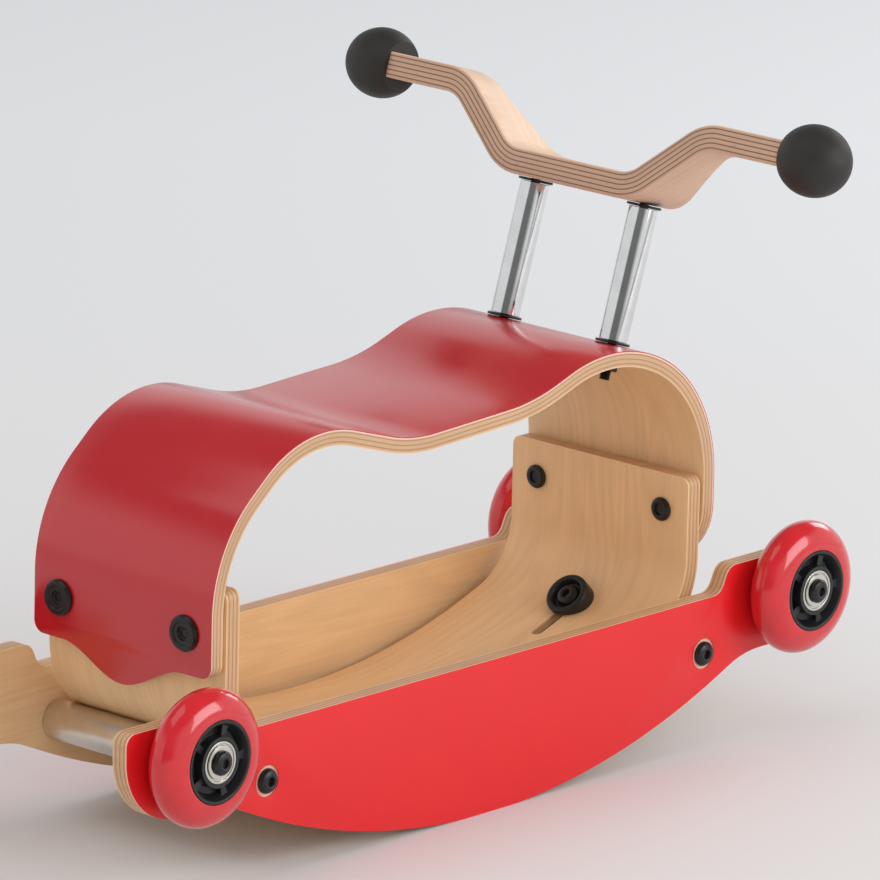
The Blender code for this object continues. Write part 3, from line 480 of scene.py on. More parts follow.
# A path through corners of (x, z, bend radius), with each bend turned into short steps
def bent_path(corners, step=BEND_STEP):
    points = [Vector(corners[0][:2])]
    for before, corner, after in zip(corners, corners[1:], corners[2:]):
        here = Vector(corner[:2])
        back = (Vector(before[:2]) - here).normalized()
        ahead = (Vector(after[:2]) - here).normalized()
        radius = corner[2]
        turn = math.pi - back.angle(ahead)
        centre = here + (back + ahead).normalized() * (radius / math.cos(turn / 2))
        spoke = here + back * radius * math.tan(turn / 2) - centre
        hand = 1 if back.x * ahead.y - back.y * ahead.x < 0 else -1
        count = max(2, math.ceil(turn / step))
        for i in range(count + 1):
            swing = Matrix.Rotation(hand * turn * i / count, 2)
            points.append(centre + swing @ spoke)
    points.append(Vector(corners[-1][:2]))
    return points


# A bend path that gives the place and the direction at any distance along it
class Course:
    def __init__(self, points):
        self.points = [points[0]]
        for point in points[1:]:
            if (point - self.points[-1]).length > 1e-7:
                self.points.append(point)
        self.marks = [0.0]
        for first, second in zip(self.points, self.points[1:]):
            self.marks.append(self.marks[-1] + (second - first).length)
        spans = [(b - a).normalized() for a, b in zip(self.points, self.points[1:])]
        middle = [(a + b).normalized() for a, b in zip(spans, spans[1:])]
        self.headings = [spans[0]] + middle + [spans[-1]]
        self.length = self.marks[-1]

    def at(self, distance):
        for i in range(len(self.marks) - 1):
            if distance <= self.marks[i + 1] or i == len(self.marks) - 2:
                share = (distance - self.marks[i]) / (self.marks[i + 1] - self.marks[i])
                point = self.points[i].lerp(self.points[i + 1], share)
                share = min(1.0, max(0.0, share))
                heading = self.headings[i].lerp(self.headings[i + 1], share).normalized()
                return point, heading

    # Distance along at which the path passes a value of x
    def where_x(self, x):
        for i, (first, second) in enumerate(zip(self.points, self.points[1:])):
            low, high = sorted((first.x, second.x))
            if low <= x <= high and high - low > 1e-9:
                return self.marks[i] + (x - first.x) / (second.x - first.x) * (
                    self.marks[i + 1] - self.marks[i])


def new_object(name, data):
    made = bpy.data.objects.new(name, data)
    bpy.context.collection.objects.link(made)
    return made


# Make an object of a bmesh, smooth but for its sharp edges
def finish_mesh(name, bm, look, sharp=SHEET_SHARP):
    bmesh.ops.recalc_face_normals(bm, faces=bm.faces)
    mesh = bpy.data.meshes.new(name)
    bm.to_mesh(mesh)
    bm.free()
    mesh.shade_smooth()
    mesh.set_sharp_from_angle(angle=sharp)
    mesh.materials.append(look)
    return new_object(name, mesh)


# A flat sheet of ply cut to an outline in (along, across), its edges eased, in a bmesh
# whose z is minus the depth under the first face
def flat_sheet(outline, holes, ply, ease):
    bm = bmesh.new()
    rim = []
    for loop in [outline] + holes:
        verts = [bm.verts.new((along, across, 0.0)) for along, across in loop]
        rim += [bm.edges.new((a, b)) for a, b in zip(verts, verts[1:] + verts[:1])]
    bmesh.ops.triangle_fill(bm, use_beauty=True, use_dissolve=False, edges=rim)
    grown = bmesh.ops.extrude_face_region(bm, geom=list(bm.faces))["geom"]
    bmesh.ops.translate(bm, vec=(0, 0, -ply),
                        verts=[item for item in grown if isinstance(item, bmesh.types.BMVert)])
    bmesh.ops.recalc_face_normals(bm, faces=bm.faces)
    turned_over = [edge for edge in bm.edges if len(edge.link_faces) == 2
                   and edge.calc_face_angle() > math.radians(80)
                   and abs(edge.verts[0].co.z - edge.verts[1].co.z) < ply / 2]
    bmesh.ops.bevel(bm, geom=turned_over, offset=ease, segments=3, profile=0.5,
                    affect="EDGES", clamp_overlap=True)
    return bm


# Let a piece ride on a body in place of a CAD node, which is hidden
def stand_in(made, node, body="frame"):
    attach(made, body)
    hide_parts(node)


# Each vertex's place in the flat sheet: along, across and how deep
def sheet_places(bm):
    return [(vertex.co.x, vertex.co.y, -vertex.co.z) for vertex in bm.verts]


# Remember those places for the material
def note_sheet(made, places):
    record = made.data.attributes.new("ply", "FLOAT_VECTOR", "POINT")
    record.data.foreach_set("vector", [value for place in places for value in place])


# Bend a flat sheet along a course. to_world gives a point from (point on course, heading,
# across, depth).
def bent_sheet(node, bm, course, to_world, look):
    for mark in course.marks[1:-1]:
        geometry = bm.verts[:] + bm.edges[:] + bm.faces[:]
        bmesh.ops.bisect_plane(bm, geom=geometry, plane_co=(mark, 0, 0), plane_no=(1, 0, 0))
    places = sheet_places(bm)
    for vertex, (along, across, depth) in zip(bm.verts, places):
        point, heading = course.at(along)
        vertex.co = to_world(point, heading, across, depth)
    made = finish_mesh(f"{node}_dressed", bm, look)
    note_sheet(made, places)
    return made


def with_stations(points):
    divided = [points[0]]
    for first, second in zip(points, points[1:]):
        count = max(1, math.ceil((second - first).length / STATION))
        divided += [first.lerp(second, (i + 1) / count) for i in range(count)]
    return divided


# The sheet's face lies on the left-hand side of a course in X and Z, and depth goes right
def across_y(point, heading, across, depth):
    normal = Vector((-heading.y, 0.0, heading.x))
    return Vector((point.x, across, point.y)) - normal * depth


# Seat shell
shell_low, shell_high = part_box("seat_shell")
half_seat = shell_high[1]
shell_face = shell_high[0]
shell_end = shell_low[2]


def quarter_round(start_across, start_along, radius, count):
    angles = [math.pi / 2 * i / count for i in range(count + 1)]
    return [(start_along + radius * (1 - math.cos(angle)),
             start_across - radius * (1 - math.sin(angle))) for angle in angles]


# Half of each lower edge of the shell, from the middle out, as (distance up, across)
def tongue_edge():
    count = 24
    edge = []
    for i in range(count):
        rise = (1 - math.cos(math.pi * i / count)) / 2
        edge.append((TONGUE_DEPTH * rise, TONGUE_REACH * i / count))
    return edge + quarter_round(half_seat, TONGUE_DEPTH, SHOULDER_ROUND, 8)


def make_shell():
    course = Course(with_stations(bent_path([
        (-shell_face, shell_end, 0), (-shell_face, *TAIL_BEND), *SHELL_BENDS,
        (shell_face, *NOSE_BEND), (shell_face, shell_end, 0),
    ])))
    tail = tongue_edge()
    nose = [(0.0, 0.0)] + quarter_round(half_seat, 0.0, NOSE_CORNER, 16)
    left = tail + [(course.length - up, across) for up, across in reversed(nose)]
    right = [(along, -across) for along, across in reversed(left) if across > 0]
    sheet = flat_sheet(left + right, [], SHELL_PLY, EDGE_ROUND)
    shell = bent_sheet("seat_shell", sheet, course, across_y, seat_ply)
    stand_in(shell, "seat_shell")
    return course


shell_course = make_shell()


# Tray, whose first face is the upper one
tray_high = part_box("base_tray")[1]
upright = tray_high[0] - TRAY_PLY
floor_corner = TRAY_FLOOR_HEIGHT - TRAY_FLOOR_RADIUS * (1 / math.cos(TRAY_FLOOR_SLOPE) - 1)


def make_tray():
    foot = floor_corner + upright * math.tan(TRAY_FLOOR_SLOPE)
    course = Course(with_stations(bent_path([
        (-upright, tray_high[2], 0), (-upright, foot, TRAY_BEND_RADIUS),
        (0, floor_corner, TRAY_FLOOR_RADIUS),
        (upright, foot, TRAY_BEND_RADIUS), (upright, TRAY_TOP_FRONT, 0),
    ])))
    rear = quarter_round(half_seat, 0.0, TRAY_CORNER, 6)
    left = rear + [(course.length - up, across) for up, across in reversed(rear)]
    right = [(along, -across) for along, across in reversed(left)]
    slots = [slot_loop(course, end, way) for end, way in ENDS]
    sheet = flat_sheet(left + right, slots, TRAY_PLY, TRAY_EDGE_ROUND)
    tray = bent_sheet("base_tray", sheet, course, across_y, tray_ply)
    stand_in(tray, "base_tray")


# The slot under a knob, round at its end toward the middle
def slot_loop(course, end, way):
    radius = SLOT_WIDTH / 2
    inner = course.where_x(way * (SLOT_START + radius))
    outer = course.where_x(centre_of(f"clamp_knob_{end}").x)
    forward = 1 if outer > inner else -1
    loop = [(outer, -radius), (outer, radius)]
    for i in range(13):
        angle = math.radians(90 + 15 * i)
        loop.append((inner + forward * radius * math.cos(angle), radius * math.sin(angle)))
    return loop


make_tray()


# Side panels, in X and Z, with depth going in from the outer face
def panel_outline():
    half_flat = ROCKER_FLAT / 2
    wheelbase = 2 * centre_of("tyre_front_left").x
    end_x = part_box("side_panel_left")[1][0]
    ear_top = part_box("side_panel_left")[1][2]
    centre_z = math.sqrt(ROCKER_RADIUS ** 2 - half_flat ** 2)
    waist_angle = math.acos((centre_z - EAR_BOTTOM) / ROCKER_RADIUS)
    waist_reach = EAR_WAIST_RADIUS * math.tan(waist_angle / 2)
    first = math.asin(half_flat / ROCKER_RADIUS)
    last = waist_angle - waist_reach / ROCKER_RADIUS
    count = 48
    angles = [first + (last - first) * i / count for i in range(count + 1)]
    rocker = [Vector((ROCKER_RADIUS * math.sin(angle), centre_z - ROCKER_RADIUS * math.cos(angle)))
              for angle in angles]
    step_x = wheelbase / 2 - EAR_STEP_REACH
    ear = bent_path([
        (*rocker[-1], 0), (ROCKER_RADIUS * math.sin(waist_angle), EAR_BOTTOM, EAR_WAIST_RADIUS),
        (end_x, EAR_BOTTOM, EAR_HEEL_RADIUS), (end_x, ear_top, EAR_TIP_RADIUS),
        (step_x + EAR_STEP_RUN / 2, ear_top, EAR_STEP_RADIUS),
        (step_x - EAR_STEP_RUN / 2, PANEL_TOP, EAR_STEP_RADIUS), (0, PANEL_TOP, 0),
    ], step=PANEL_STEP)
    half = rocker[:-1] + ear[2:-1]
    return [(point.x, point.y) for point in half] + [(-point.x, point.y) for point in half[::-1]]


def circle_loop(centre, radius):
    count = 48
    angles = [2 * math.pi * i / count for i in range(count)]
    return [(centre.x + radius * math.cos(angle), centre.z + radius * math.sin(angle))
            for angle in angles]


def make_panels():
    for side, hand in SIDES:
        outer = panel_face(side, hand)
        bars = [centre_of(f"cross_bar_{end}") for end, way in ENDS]
        holes = [circle_loop(bar, SCREW_SEAT_DIAMETER / 2) for bar in bars]
        bm = flat_sheet(panel_outline(), holes, PANEL_PLY, PANEL_ROUND)
        add_seat_floors(bm, bars)
        places = sheet_places(bm)
        for vertex, (along, up, depth) in zip(bm.verts, places):
            vertex.co = (along, hand * (outer - depth), up)
        panel = finish_mesh(f"side_panel_{side}_dressed", bm, panel_ply)
        note_sheet(panel, places)
        stand_in(panel, f"side_panel_{side}")


# Each screw's seat is a shallow round recess; its floor closes the hole just below the face
def add_seat_floors(bm, bars):
    for bar in bars:
        loop = circle_loop(bar, SCREW_SEAT_DIAMETER / 2 + PANEL_ROUND)
        for depth in (SCREW_SEAT_DEPTH, PANEL_PLY - PANEL_ROUND):
            bm.faces.new([bm.verts.new((x, z, -depth)) for x, z in loop])


make_panels()


def round_point(radius, angle, height):
    return (radius * math.cos(angle), radius * math.sin(angle), height)


# Turn a profile of (radius, height, fillet) corners about an axis. It either starts and ends on
# the axis or closes into a ring.
def turned(node, corners, look, sides=TURNED_SIDES):
    corners = [(*corner, 0.0)[:3] for corner in corners]
    points = filleted([corners[-1], *corners, corners[0]])[1:-1]
    bm = bmesh.new()
    rings = []
    for point in points:
        count = sides if point.x > 1e-6 else 1
        rings.append([bm.verts.new(round_point(point.x, 2 * math.pi * i / sides, point.y))
                      for i in range(count)])
    for low, high in zip(rings, rings[1:] + rings[:1]):
        if len(low) == 1 and len(high) == 1:
            continue
        for i in range(sides):
            j = (i + 1) % sides
            face = (low[i % len(low)], low[j % len(low)], high[j % len(high)], high[i % len(high)])
            bm.faces.new(list(dict.fromkeys(face)))
    return finish_mesh(f"{node}_dressed", bm, look, TURNED_SHARP)


# Corners of (x, y, fillet radius), each rounded in steps
def filleted(corners):
    points = [Vector(corners[0][:2])]
    for before, corner, after in zip(corners, corners[1:], corners[2:]):
        here = Vector(corner[:2])
        if corner[2] <= 0:
            points.append(here)
            continue
        back = Vector(before[:2]) - here
        ahead = Vector(after[:2]) - here
        turn = math.pi - back.angle(ahead)
        longest = min(back.length, ahead.length) * 0.48
        reach = min(corner[2] * math.tan(turn / 2), longest)
        start = here + back.normalized() * reach
        end = here + ahead.normalized() * reach
        for i in range(5):
            share = i / 4
            first = start.lerp(here, share)
            second = here.lerp(end, share)
            points.append(first.lerp(second, share))
    points.append(Vector(corners[-1][:2]))
    return points


# A ring, tube or bar that stands on height 0, its outer edges eased
def turned_ring(node, inner, outer, height, ease, look):
    return turned(node, [(inner, 0), (outer, 0, ease), (outer, height, ease), (inner, height)],
                  look)


# The placing of a piece at a point, with its own +Z along a direction
def placing(origin, direction):
    turn = Vector((0.0, 0.0, 1.0)).rotation_difference(Vector(direction))
    return Matrix.Translation(origin) @ turn.to_matrix().to_4x4()


# Put a turned piece at a point with its axis along a direction, and let it ride
def seat_piece(made, origin, direction, node, body="frame"):
    made.matrix_world = placing(origin, direction)
    stand_in(made, node, body)


# A hexagonal prism between two heights, by its corners' radius and the first one's angle
def hex_prism(radius, first, low, high):
    bm = bmesh.new()
    angles = [first + math.pi / 3 * i for i in range(6)]
    lower, upper = [[bm.verts.new(round_point(radius, angle, height)) for angle in angles]
                    for height in (low, high)]
    bm.faces.new(lower)
    bm.faces.new(upper)
    for i in range(6):
        j = (i + 1) % 6
        bm.faces.new((lower[i], lower[j], upper[j], upper[i]))
    bmesh.ops.recalc_face_normals(bm, faces=bm.faces)
    return bm


# Cut a hexagon socket into the top of a turned head
def hex_socket(made, radius, floor, top):
    bm = hex_prism(radius, SOCKET_TURN, floor, top)
    cutter = finish_mesh("socket_cutter", bm, black_steel, HEX_SHARP)
    boolean = made.modifiers.new("socket", "BOOLEAN")
    boolean.object = cutter
    boolean.solver = "EXACT"
    bpy.context.view_layer.update()
    depsgraph = bpy.context.evaluated_depsgraph_get()
    applied = bpy.data.meshes.new_from_object(made.evaluated_get(depsgraph))
    made.modifiers.clear()
    made.data = applied
    bpy.data.objects.remove(cutter)


# Bolt or nut: a shank that ends at height 0, a head on it and, if given, a socket in the head
def headed(node, measures, head, socket=None, ease=0.0):
    shank, length, radius, tall = measures
    corners = [(0, -length), (shank, -length, ease), (shank, 0)]
    corners += [(radius * out, tall * up, fillet) for out, up, fillet in head]
    made = turned(node, corners, black_steel)
    if socket:
        hex_socket(made, radius * socket[0], tall * socket[1], tall * 2)
    return made


def button_head(node, measures):
    return headed(node, measures, BUTTON_HEAD, BUTTON_SOCKET, SMALL_ROUND)


# Put a bolt or nut where its head ends as its node does, along X or Y
def seat_head(made, node, direction, tall):
    direction = Vector(direction)
    origin = centre_of(node) + direction * (abs(size_of(node).dot(direction)) / 2 - tall)
    seat_piece(made, origin, direction, node)


def make_cross_bars():
    for end, way in ENDS:
        node = f"cross_bar_{end}"
        size = size_of(node)
        bar = turned_ring(node, 0, size.z / 2, size.y, BAR_ROUND, satin_metal)
        origin = centre_of(node) - Vector((0, size.y / 2, 0))
        seat_piece(bar, origin, (0, 1, 0), node)


def make_panel_screws():
    for end, way in ENDS:
        for side, hand in SIDES:
            node = f"panel_screw_{end}_{side}"
            screw = button_head(node, PANEL_SCREW)
            seat_head(screw, node, (0, hand, 0), PANEL_SCREW[3])


make_cross_bars()
make_panel_screws()


# Connector bolt with a raised rim, as long as its node
def make_shell_bolt(node, way):
    size = size_of(node)
    tall = SHELL_HEAD_TALL
    bolt = headed(node, (SHELL_BOLT_RADIUS, size.x - tall, size.z / 2, tall),
                  RIMMED_HEAD, RIMMED_SOCKET)
    seat_head(bolt, node, (way, 0, 0), tall)


# Cap nut with a round recess, on the tray's inner face
def make_cap_nut(node, way):
    radius = size_of(node).z / 2
    tall = NUT_HEAD_TALL
    nut = headed(node, (NUT_SLEEVE_RADIUS, NUT_SLEEVE_LENGTH, radius, tall), CAP_HEAD)
    seat_head(nut, node, (-way, 0, 0), tall)


def make_spacer(node, way):
    size = size_of(node)
    spacer = turned_ring(node, HOLE_RADIUS, size.z / 2, size.x, SMALL_ROUND, black_nylon)
    origin = centre_of(node) - Vector((way * size.x / 2, 0, 0))
    seat_piece(spacer, origin, (way, 0, 0), node)


for end, way in ENDS:
    for side, hand in SIDES:
        make_shell_bolt(f"shell_bolt_{end}_{side}", way)
        make_cap_nut(f"shell_nut_{end}_{side}", way)
        make_spacer(f"shell_spacer_{end}_{side}", way)


# Where a knob's axis meets the tray's inner face, its direction, and the centre of the bend
# that it stands on
def knob_seat(way):
    bend_x = upright - TRAY_BEND_RADIUS
    bend_z = (floor_corner + bend_x * math.tan(TRAY_FLOOR_SLOPE)
              + TRAY_BEND_RADIUS / math.cos(TRAY_FLOOR_SLOPE))
    bar = centre_of("cross_bar_front")
    axis = Vector((-math.cos(KNOB_ANGLE), 0, math.sin(KNOB_ANGLE)))
    to_bend = Vector((bend_x - bar.x, 0, bend_z - bar.z))
    along = to_bend.dot(axis)
    rise = along - math.sqrt(along ** 2 - to_bend.length_squared + TRAY_BEND_RADIUS ** 2)
    seat = Vector((bar.x, 0, bar.z)) + axis * rise
    middle = Vector((way * bend_x, 0, bend_z))
    return Vector((way * seat.x, 0, seat.z)), Vector((way * axis.x, 0, axis.z)), middle


# Clamp knobs, cut to the tray's bend, with a recess that holds a socket bolt
def make_knobs():
    radius = KNOB_DIAMETER / 2
    recess = KNOB_RECESS_DIAMETER / 2
    floor = KNOB_HEIGHT - KNOB_RECESS_DEPTH
    bore = KNOB_BOLT[0] + GAP
    for end, way in ENDS:
        seat, axis, bend = knob_seat(way)
        knob = turned(f"clamp_knob_{end}", [
            (bore, -radius), (radius, -radius), (radius, KNOB_HEIGHT, KNOB_ROUND),
            (recess + KNOB_RECESS_FLARE, KNOB_HEIGHT, KNOB_MOUTH_ROUND),
            (recess, floor, KNOB_FLOOR_ROUND), (bore, floor),
        ], black_nylon)
        knob.data.transform(placing(seat, axis))
        fit_skirt(knob, seat, axis, bend)
        stand_in(knob, f"clamp_knob_{end}")
        bolt = button_head(f"knob_bolt_{end}", KNOB_BOLT)
        seat_piece(bolt, seat + axis * (floor + GAP), axis, f"knob_bolt_{end}")


# Slide the knob's base along its axis on to the tray's inner face
def fit_skirt(made, seat, axis, bend):
    reach = TRAY_BEND_RADIUS - GAP
    for vertex in made.data.vertices:
        if (vertex.co - seat).dot(axis) > -GAP:
            continue
        foot = vertex.co - axis * (vertex.co - seat).dot(axis)
        spoke = Vector((foot.x - bend.x, 0, foot.z - bend.z))
        toward = spoke.dot(axis)
        drop = -toward - math.sqrt(toward ** 2 - spoke.length_squared + reach ** 2)
        vertex.co = foot + axis * drop


make_knobs()


# Posts: chromed tubes square to the shell's front hump, washers, rods with thread and nuts
post_axis = Vector((math.sin(POST_LEAN), 0, math.cos(POST_LEAN)))
handle_forward = Vector((math.cos(POST_LEAN), 0, -math.sin(POST_LEAN)))
handle_start = 4 * GAP + 2 * WASHER_HEIGHT + POST_LENGTH


def post_point(hand, height):
    point = shell_course.at(shell_course.where_x(POST_FOOT))[0]
    return Vector((POST_FOOT, hand * POST_SPACING / 2, point.y)) + post_axis * height


def make_posts():
    outer = POST_DIAMETER / 2
    post_start = 2 * GAP + WASHER_HEIGHT
    for side, hand in SIDES:
        for level, height in (("lower", GAP), ("upper", post_start + POST_LENGTH + GAP)):
            node = f"post_washer_{level}_{side}"
            washer = turned_ring(node, HOLE_RADIUS, WASHER_DIAMETER / 2, WASHER_HEIGHT,
                                 WASHER_ROUND, black_steel)
            seat_piece(washer, post_point(hand, height), post_axis, node)
        node = f"post_{side}"
        tube = turned_ring(node, outer - POST_WALL, outer, POST_LENGTH, SMALL_ROUND, chrome)
        seat_piece(tube, post_point(hand, post_start), post_axis, node)
        make_rod_and_nut(side, hand)


def make_rod_and_nut(side, hand):
    nut_top = -(SHELL_PLY + 2 * GAP)
    bottom = nut_top - POST_NUT_HEIGHT - ROD_TAIL
    top = handle_start + HANDLE_PLY * ROD_ENTRY
    core = ROD_RADIUS - THREAD_DEPTH
    profile = [(0, bottom), (core, bottom)]
    for i in range(round(ROD_TAIL / THREAD_PITCH)):
        level = bottom + THREAD_PITCH * i
        profile += [(ROD_RADIUS, level + THREAD_PITCH / 2), (core, level + THREAD_PITCH)]
    profile += [(core, top), (0, top)]
    rod = turned(f"post_rod_{side}", profile, black_steel, sides=ROD_SIDES)
    seat_piece(rod, post_point(hand, 0), post_axis, f"post_rod_{side}")
    bm = hex_prism(POST_NUT_ACROSS_FLATS / math.sqrt(3), 0.0, -POST_NUT_HEIGHT, 0.0)
    bmesh.ops.bevel(bm, geom=bm.edges[:], offset=POST_NUT_EASE, segments=2, profile=0.5,
                    affect="EDGES")
    nut = finish_mesh(f"post_nut_{side}_dressed", bm, black_steel, HEX_SHARP)
    seat_piece(nut, post_point(hand, nut_top), post_axis, f"post_nut_{side}")


make_posts()


# Handlebar: a gull-wing strip in the plane of the posts, narrower toward its grips
def handle_edges(out):
    share = (out - HANDLE_TAPER_START) / (HANDLE_TAPER_END - HANDLE_TAPER_START)
    share = min(1.0, max(0.0, share))
    eased = (1 - math.cos(math.pi * share)) / 2
    rear = HANDLE_REAR_EDGE + (HANDLE_TIP_REAR - HANDLE_REAR_EDGE) * eased
    front = HANDLE_FRONT_EDGE + (HANDLE_TIP_FRONT - HANDLE_FRONT_EDGE) * eased
    return -rear, front


def make_handlebar():
    upper_knee = HANDLE_KNEE + HANDLE_RISE / math.tan(HANDLE_SLOPE)
    tip = GRIP_SPREAD / 2 - GRIP_MOUTH + GRIP_ENGAGEMENT
    half = bent_path([
        (0, 0, 0), (HANDLE_KNEE, 0, HANDLE_KNEE_RADIUS),
        (upper_knee, HANDLE_RISE, HANDLE_KNEE_RADIUS), (tip, HANDLE_RISE, 0),
    ])
    course = Course(with_stations([Vector((-p.x, p.y)) for p in half[:0:-1]] + half))
    rear_edge = []
    front_edge = []
    for point, mark in zip(course.points, course.marks):
        rear, front = handle_edges(abs(point.x))
        rear_edge.append((mark, rear))
        front_edge.append((mark, front))
    middle = post_point(0, handle_start + HANDLE_PLY / 2)

    def to_world(point, heading, across, depth):
        normal = Vector((0, -heading.y, 0)) + post_axis * heading.x
        line = middle + Vector((0, point.x, 0)) + post_axis * point.y
        return line + normal * (HANDLE_PLY / 2 - depth) + handle_forward * across

    sheet = flat_sheet(rear_edge + front_edge[::-1], [], HANDLE_PLY, EDGE_ROUND)
    bar = bent_sheet("handlebar", sheet, course, to_world, handle_ply)
    stand_in(bar, "handlebar")


make_handlebar()


# Grips: slightly long black balls, cut flat at the mouth round the handlebar's end
def make_grips():
    radius = GRIP_DIAMETER / 2
    half_length = GRIP_LENGTH / 2
    mouth_angle = math.acos(GRIP_MOUTH / half_length)
    steps = 36
    angles = [mouth_angle + (math.pi - mouth_angle) * i / steps for i in range(steps)]
    profile = [(0, -GRIP_MOUTH)]
    profile += [(radius * math.sin(angle), -half_length * math.cos(angle)) for angle in angles]
    profile += [(0, half_length)]
    rear, front = handle_edges(GRIP_SPREAD / 2)
    middle = (post_point(0, handle_start + HANDLE_PLY / 2 + HANDLE_RISE)
              + handle_forward * (rear + front) / 2)
    for side, hand in SIDES:
        across = Vector((0, hand, 0))
        grip = turned(f"grip_{side}", profile, grip_black)
        seat_piece(grip, middle + across * GRIP_SPREAD / 2, across, f"grip_{side}")


make_grips()


# A tyre's section: half an ellipse with a slight parting line, closed by its seat on the hub
def tyre_profile(diameter, width):
    base = HUB_DIAMETER / 2 + GAP
    crown = diameter / 2 - base
    steps = 48
    points = []
    for i in range(steps + 1):
        angle = math.pi * i / steps
        ridge = TYRE_PARTING if i == steps // 2 else 0.0
        points.append((base + crown * math.sin(angle) - ridge, -width / 2 * math.cos(angle)))
    return points


# Hub with a dished face: a ring-shaped recess crossed by spokes, made on rings and rays
def hub_mesh(node):
    bore = BEARING_DIAMETER / 2 + GAP
    rim = HUB_DIAMETER / 2
    face = HUB_WIDTH / 2
    boss = bore + HUB_BOSS_WALL
    lip = rim - HUB_LIP
    floor = HUB_FLOOR_DIAMETER / 2
    cone = lip + (floor - lip) * HUB_SPOKE_DROP / HUB_RECESS_DEPTH
    middle = face - HUB_SPOKE_DROP
    low = face - HUB_RECESS_DEPTH
    profile = [(boss, middle), (boss, low), (floor, low), (cone, middle), (lip, face),
               (rim, face), (rim, -face), (bore, -face), (bore, face), (boss, face)]
    half_spoke = HUB_SPOKE_WIDTH / (boss + floor)
    pocket = 2 * math.pi / HUB_SPOKES - 2 * half_spoke
    pocket_steps = 16
    rays = []
    for spoke in range(HUB_SPOKES):
        angle = 2 * math.pi * spoke / HUB_SPOKES
        rays.append((angle - half_spoke, False))
        rays += [(angle + half_spoke + pocket * i / pocket_steps, True)
                 for i in range(pocket_steps)]
    bm = bmesh.new()
    rings = [[bm.verts.new(round_point(radius, angle, height)) for angle, is_open in rays]
             for radius, height in profile]
    for i, (angle, is_open) in enumerate(rays):
        j = (i + 1) % len(rays)
        for k in range(len(rings)):
            if is_open or k > 2:
                first, second = rings[k], rings[(k + 1) % len(rings)]
                bm.faces.new((first[i], first[j], second[j], second[i]))
        if not is_open:
            bm.faces.new((rings[0][i], rings[0][j], rings[3][j], rings[3][i]))
            for ray in (i, j):
                bm.faces.new([rings[k][ray] for k in range(4)])
    made = finish_mesh(f"{node}_dressed", bm, black_nylon, HUB_SHARP)
    ease = made.modifiers.new("ease", "BEVEL")
    ease.width = HUB_EASE
    ease.segments = 2
    ease.limit_method = "ANGLE"
    ease.angle_limit = HUB_SHARP
    return made


# Wheels: a glossy tyre on its hub, a bearing, its sleeve and the axle bolt
def make_wheels():
    tyre_size = size_of("tyre_front_left")
    face = HUB_WIDTH / 2
    outer = BEARING_DIAMETER / 2
    dish = face - BEARING_DISH
    inner = SLEEVE_DIAMETER / 2 + GAP
    lip = outer - BEARING_LIP
    hollow = AXLE_BOLT[0] + GAP
    sleeve = SLEEVE_DIAMETER / 2
    flange = SLEEVE_FLANGE_DIAMETER / 2
    seat = dish + GAP
    top = seat + SLEEVE_FLANGE
    for end, way in ENDS:
        for side, hand in SIDES:
            place = f"{end}_{side}"
            centre = centre_of(f"tyre_{place}")
            out = Vector((0, hand, 0))
            body = f"wheel_{place}"
            tyre = turned(f"tyre_{place}", tyre_profile(tyre_size.z, tyre_size.y), tyre_red,
                          sides=TYRE_SIDES)
            seat_piece(tyre, centre, out, f"tyre_{place}", body)
            hub = hub_mesh(f"hub_{place}")
            seat_piece(hub, centre, out, f"hub_{place}", body)
            bearing = turned(f"bearing_{place}", [
                (inner, -dish), (lip, -dish, TINY_ROUND), (lip, -face, SMALL_ROUND),
                (outer, -face, SMALL_ROUND), (outer, face, SMALL_ROUND),
                (lip, face, SMALL_ROUND), (lip, dish, TINY_ROUND), (inner, dish),
            ], bright_steel)
            seat_piece(bearing, centre, out, f"bearing_{place}", body)
            foot = panel_face(side, hand) - abs(centre.y) + GAP
            tube = turned(f"axle_sleeve_{place}", [
                (hollow, foot), (sleeve, foot), (sleeve, seat), (flange, seat, TINY_ROUND),
                (flange, top, SMALL_ROUND), (hollow, top, SMALL_ROUND),
            ], bright_steel)
            seat_piece(tube, centre, out, f"axle_sleeve_{place}")
            bolt = button_head(f"axle_bolt_{place}", AXLE_BOLT)
            seat_piece(bolt, centre + out * (top + GAP), out, f"axle_bolt_{place}")


make_wheels()


# Stage: a wide pale floor, soft studio lamps and a white room with a dark side. Angles of the
# room count from the camera, to its right as seen from the toy's place.
PAPER_TOP = (math.radians(26), math.radians(40))
DARK_LEFT = (math.radians(-42), math.radians(-33))
DARK_RIGHT = (math.radians(10), math.radians(34))
ROOM_LEVEL = 0.18
PAPER_LEVEL = 0.82
FILL_LEVEL = 0.74
# Floor colours near the camera and far off; the change between them is painted light
NEAR_FLOOR = screen(219, 216, 215)
FAR_FLOOR = screen(226, 228, 231)
FLOOR_HALF = 9.0
FLOOR_AWAY = (0.74, 0.67)
FLOOR_SWEEP = (-0.2, 1.6)
FLOOR_CLOUD = 0.3

# Lamps: name, azimuth and elevation in degrees, distance, width, height and power in watts,
# and whether glossy surfaces mirror it. They aim at a point over the floor.
LAMPS = (
    ("key", 24, 22, 2.5, 1.5, 1.3, 22, True),
    ("top", -108, 66, 2.6, 2.0, 1.4, 8, True),
    ("left", -42, 20, 2.6, 1.2, 0.8, 7, False),
    ("side", 95, 23, 2.6, 0.9, 0.9, 9, True),
)
LAMP_AIM = Vector((0, 0, 0.15))


# Unit vector from the object to a place at an azimuth, as the camera's is counted, and elevation
def direction_to(azimuth, elevation):
    return Vector((math.sin(azimuth) * math.cos(elevation),
                   -math.cos(azimuth) * math.cos(elevation), math.sin(elevation)))
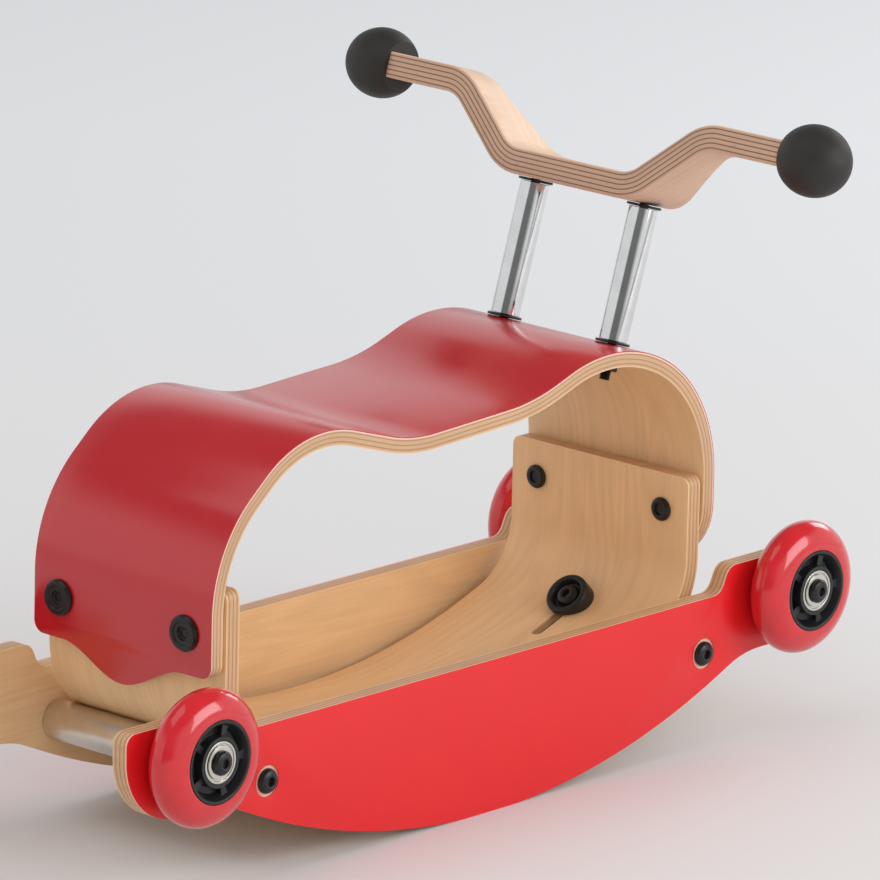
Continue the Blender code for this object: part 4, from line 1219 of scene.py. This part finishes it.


# The floor's colour gets paler away from the camera, a little unevenly: a painted gradient of
# light
def make_floor():
    bm = bmesh.new()
    corners = ((-1, -1), (1, -1), (1, 1), (-1, 1))
    bm.faces.new([bm.verts.new((FLOOR_HALF * x, FLOOR_HALF * y, 0.0)) for x, y in corners])
    look, tree = new_look("floor_paper", Roughness=0.85)
    shader = tree.nodes["Principled BSDF"]
    where = coordinates(tree, "Object")
    x, y = split(tree, where)[:2]
    behind = maths(tree, "ADD", maths(tree, "MULTIPLY", x, FLOOR_AWAY[0]),
                   maths(tree, "MULTIPLY", y, FLOOR_AWAY[1]))
    cloud = noise(tree, where, (0.6, 0.6, 0.6), 2.0)
    sweep = spread(tree, maths(tree, "MULTIPLY_ADD", cloud, FLOOR_CLOUD, behind), *FLOOR_SWEEP)
    tree.links.new(mixed(tree, sweep, NEAR_FLOOR, FAR_FLOOR), shader.inputs["Base Color"])
    finish_mesh("floor", bm, look)


def softbox(name, azimuth, elevation, distance, width, height, power, mirrored):
    away = direction_to(math.radians(azimuth), math.radians(elevation))
    data = bpy.data.lights.new(name, "AREA")
    data.shape = "RECTANGLE"
    data.size = width
    data.size_y = height
    data.energy = power
    lamp = new_object(name, data)
    lamp.location = away * distance + LAMP_AIM
    lamp.rotation_euler = away.to_track_quat("Z", "Y").to_euler()
    lamp.visible_glossy = mirrored


# A white room as glossy things see it: paper that sweeps up behind the toy and to its left,
# darker above that and where the camera stands
def make_world():
    world = bpy.data.worlds.new("studio")
    bpy.context.scene.world = world
    world.use_nodes = True
    tree = world.node_tree
    x, y, z = split(tree, coordinates(tree, "Generated"))
    rise = maths(tree, "ARCSINE", z)
    turn = maths(tree, "ARCTAN2", x, maths(tree, "MULTIPLY", y, -1.0))
    aside = maths(tree, "SUBTRACT", turn, CAMERA_AZIMUTH)
    aside = maths(tree, "WRAP", aside, math.pi, -math.pi)
    paper = spread(tree, rise, *PAPER_TOP, 1.0, 0.0)
    dark = maths(tree, "MULTIPLY", spread(tree, aside, *DARK_LEFT),
                 spread(tree, aside, *DARK_RIGHT, 1.0, 0.0))
    level = maths(tree, "MULTIPLY", paper, maths(tree, "SUBTRACT", 1.0, dark))
    level = spread(tree, level, 0.0, 1.0, ROOM_LEVEL, PAPER_LEVEL)
    glossy = tree.nodes.new("ShaderNodeLightPath").outputs["Is Glossy Ray"]
    background = tree.nodes["Background"]
    tree.links.new(mixed_value(tree, glossy, FILL_LEVEL, level), background.inputs[0])
    background.inputs[1].default_value = 1.0


def make_camera():
    back = direction_to(CAMERA_AZIMUTH, CAMERA_ELEVATION)
    level = Vector((math.cos(CAMERA_AZIMUTH), math.sin(CAMERA_AZIMUTH), 0))
    upward = back.cross(level)
    right = level * math.cos(CAMERA_ROLL) + upward * math.sin(CAMERA_ROLL)
    up = upward * math.cos(CAMERA_ROLL) - level * math.sin(CAMERA_ROLL)
    data = bpy.data.cameras.new("photo_camera")
    data.sensor_width = SENSOR_WIDTH
    data.lens = FOCAL_PIXELS / IMAGE_SIZE * SENSOR_WIDTH
    data.shift_x = (IMAGE_SIZE / 2 - OPTICAL_CENTRE[0]) / IMAGE_SIZE
    data.shift_y = (OPTICAL_CENTRE[1] - IMAGE_SIZE / 2) / IMAGE_SIZE
    data.clip_end = VIEW_DEPTH
    camera = new_object("photo_camera", data)
    place = CAMERA_TARGET + back * CAMERA_DISTANCE
    turn = Matrix((right, up, back)).transposed().to_4x4()
    camera.matrix_world = Matrix.Translation(place) @ turn
    bpy.context.scene.camera = camera


make_floor()
for lamp in LAMPS:
    softbox(*lamp)
make_world()
make_camera()
bpy.context.scene.view_settings.view_transform = "Standard"
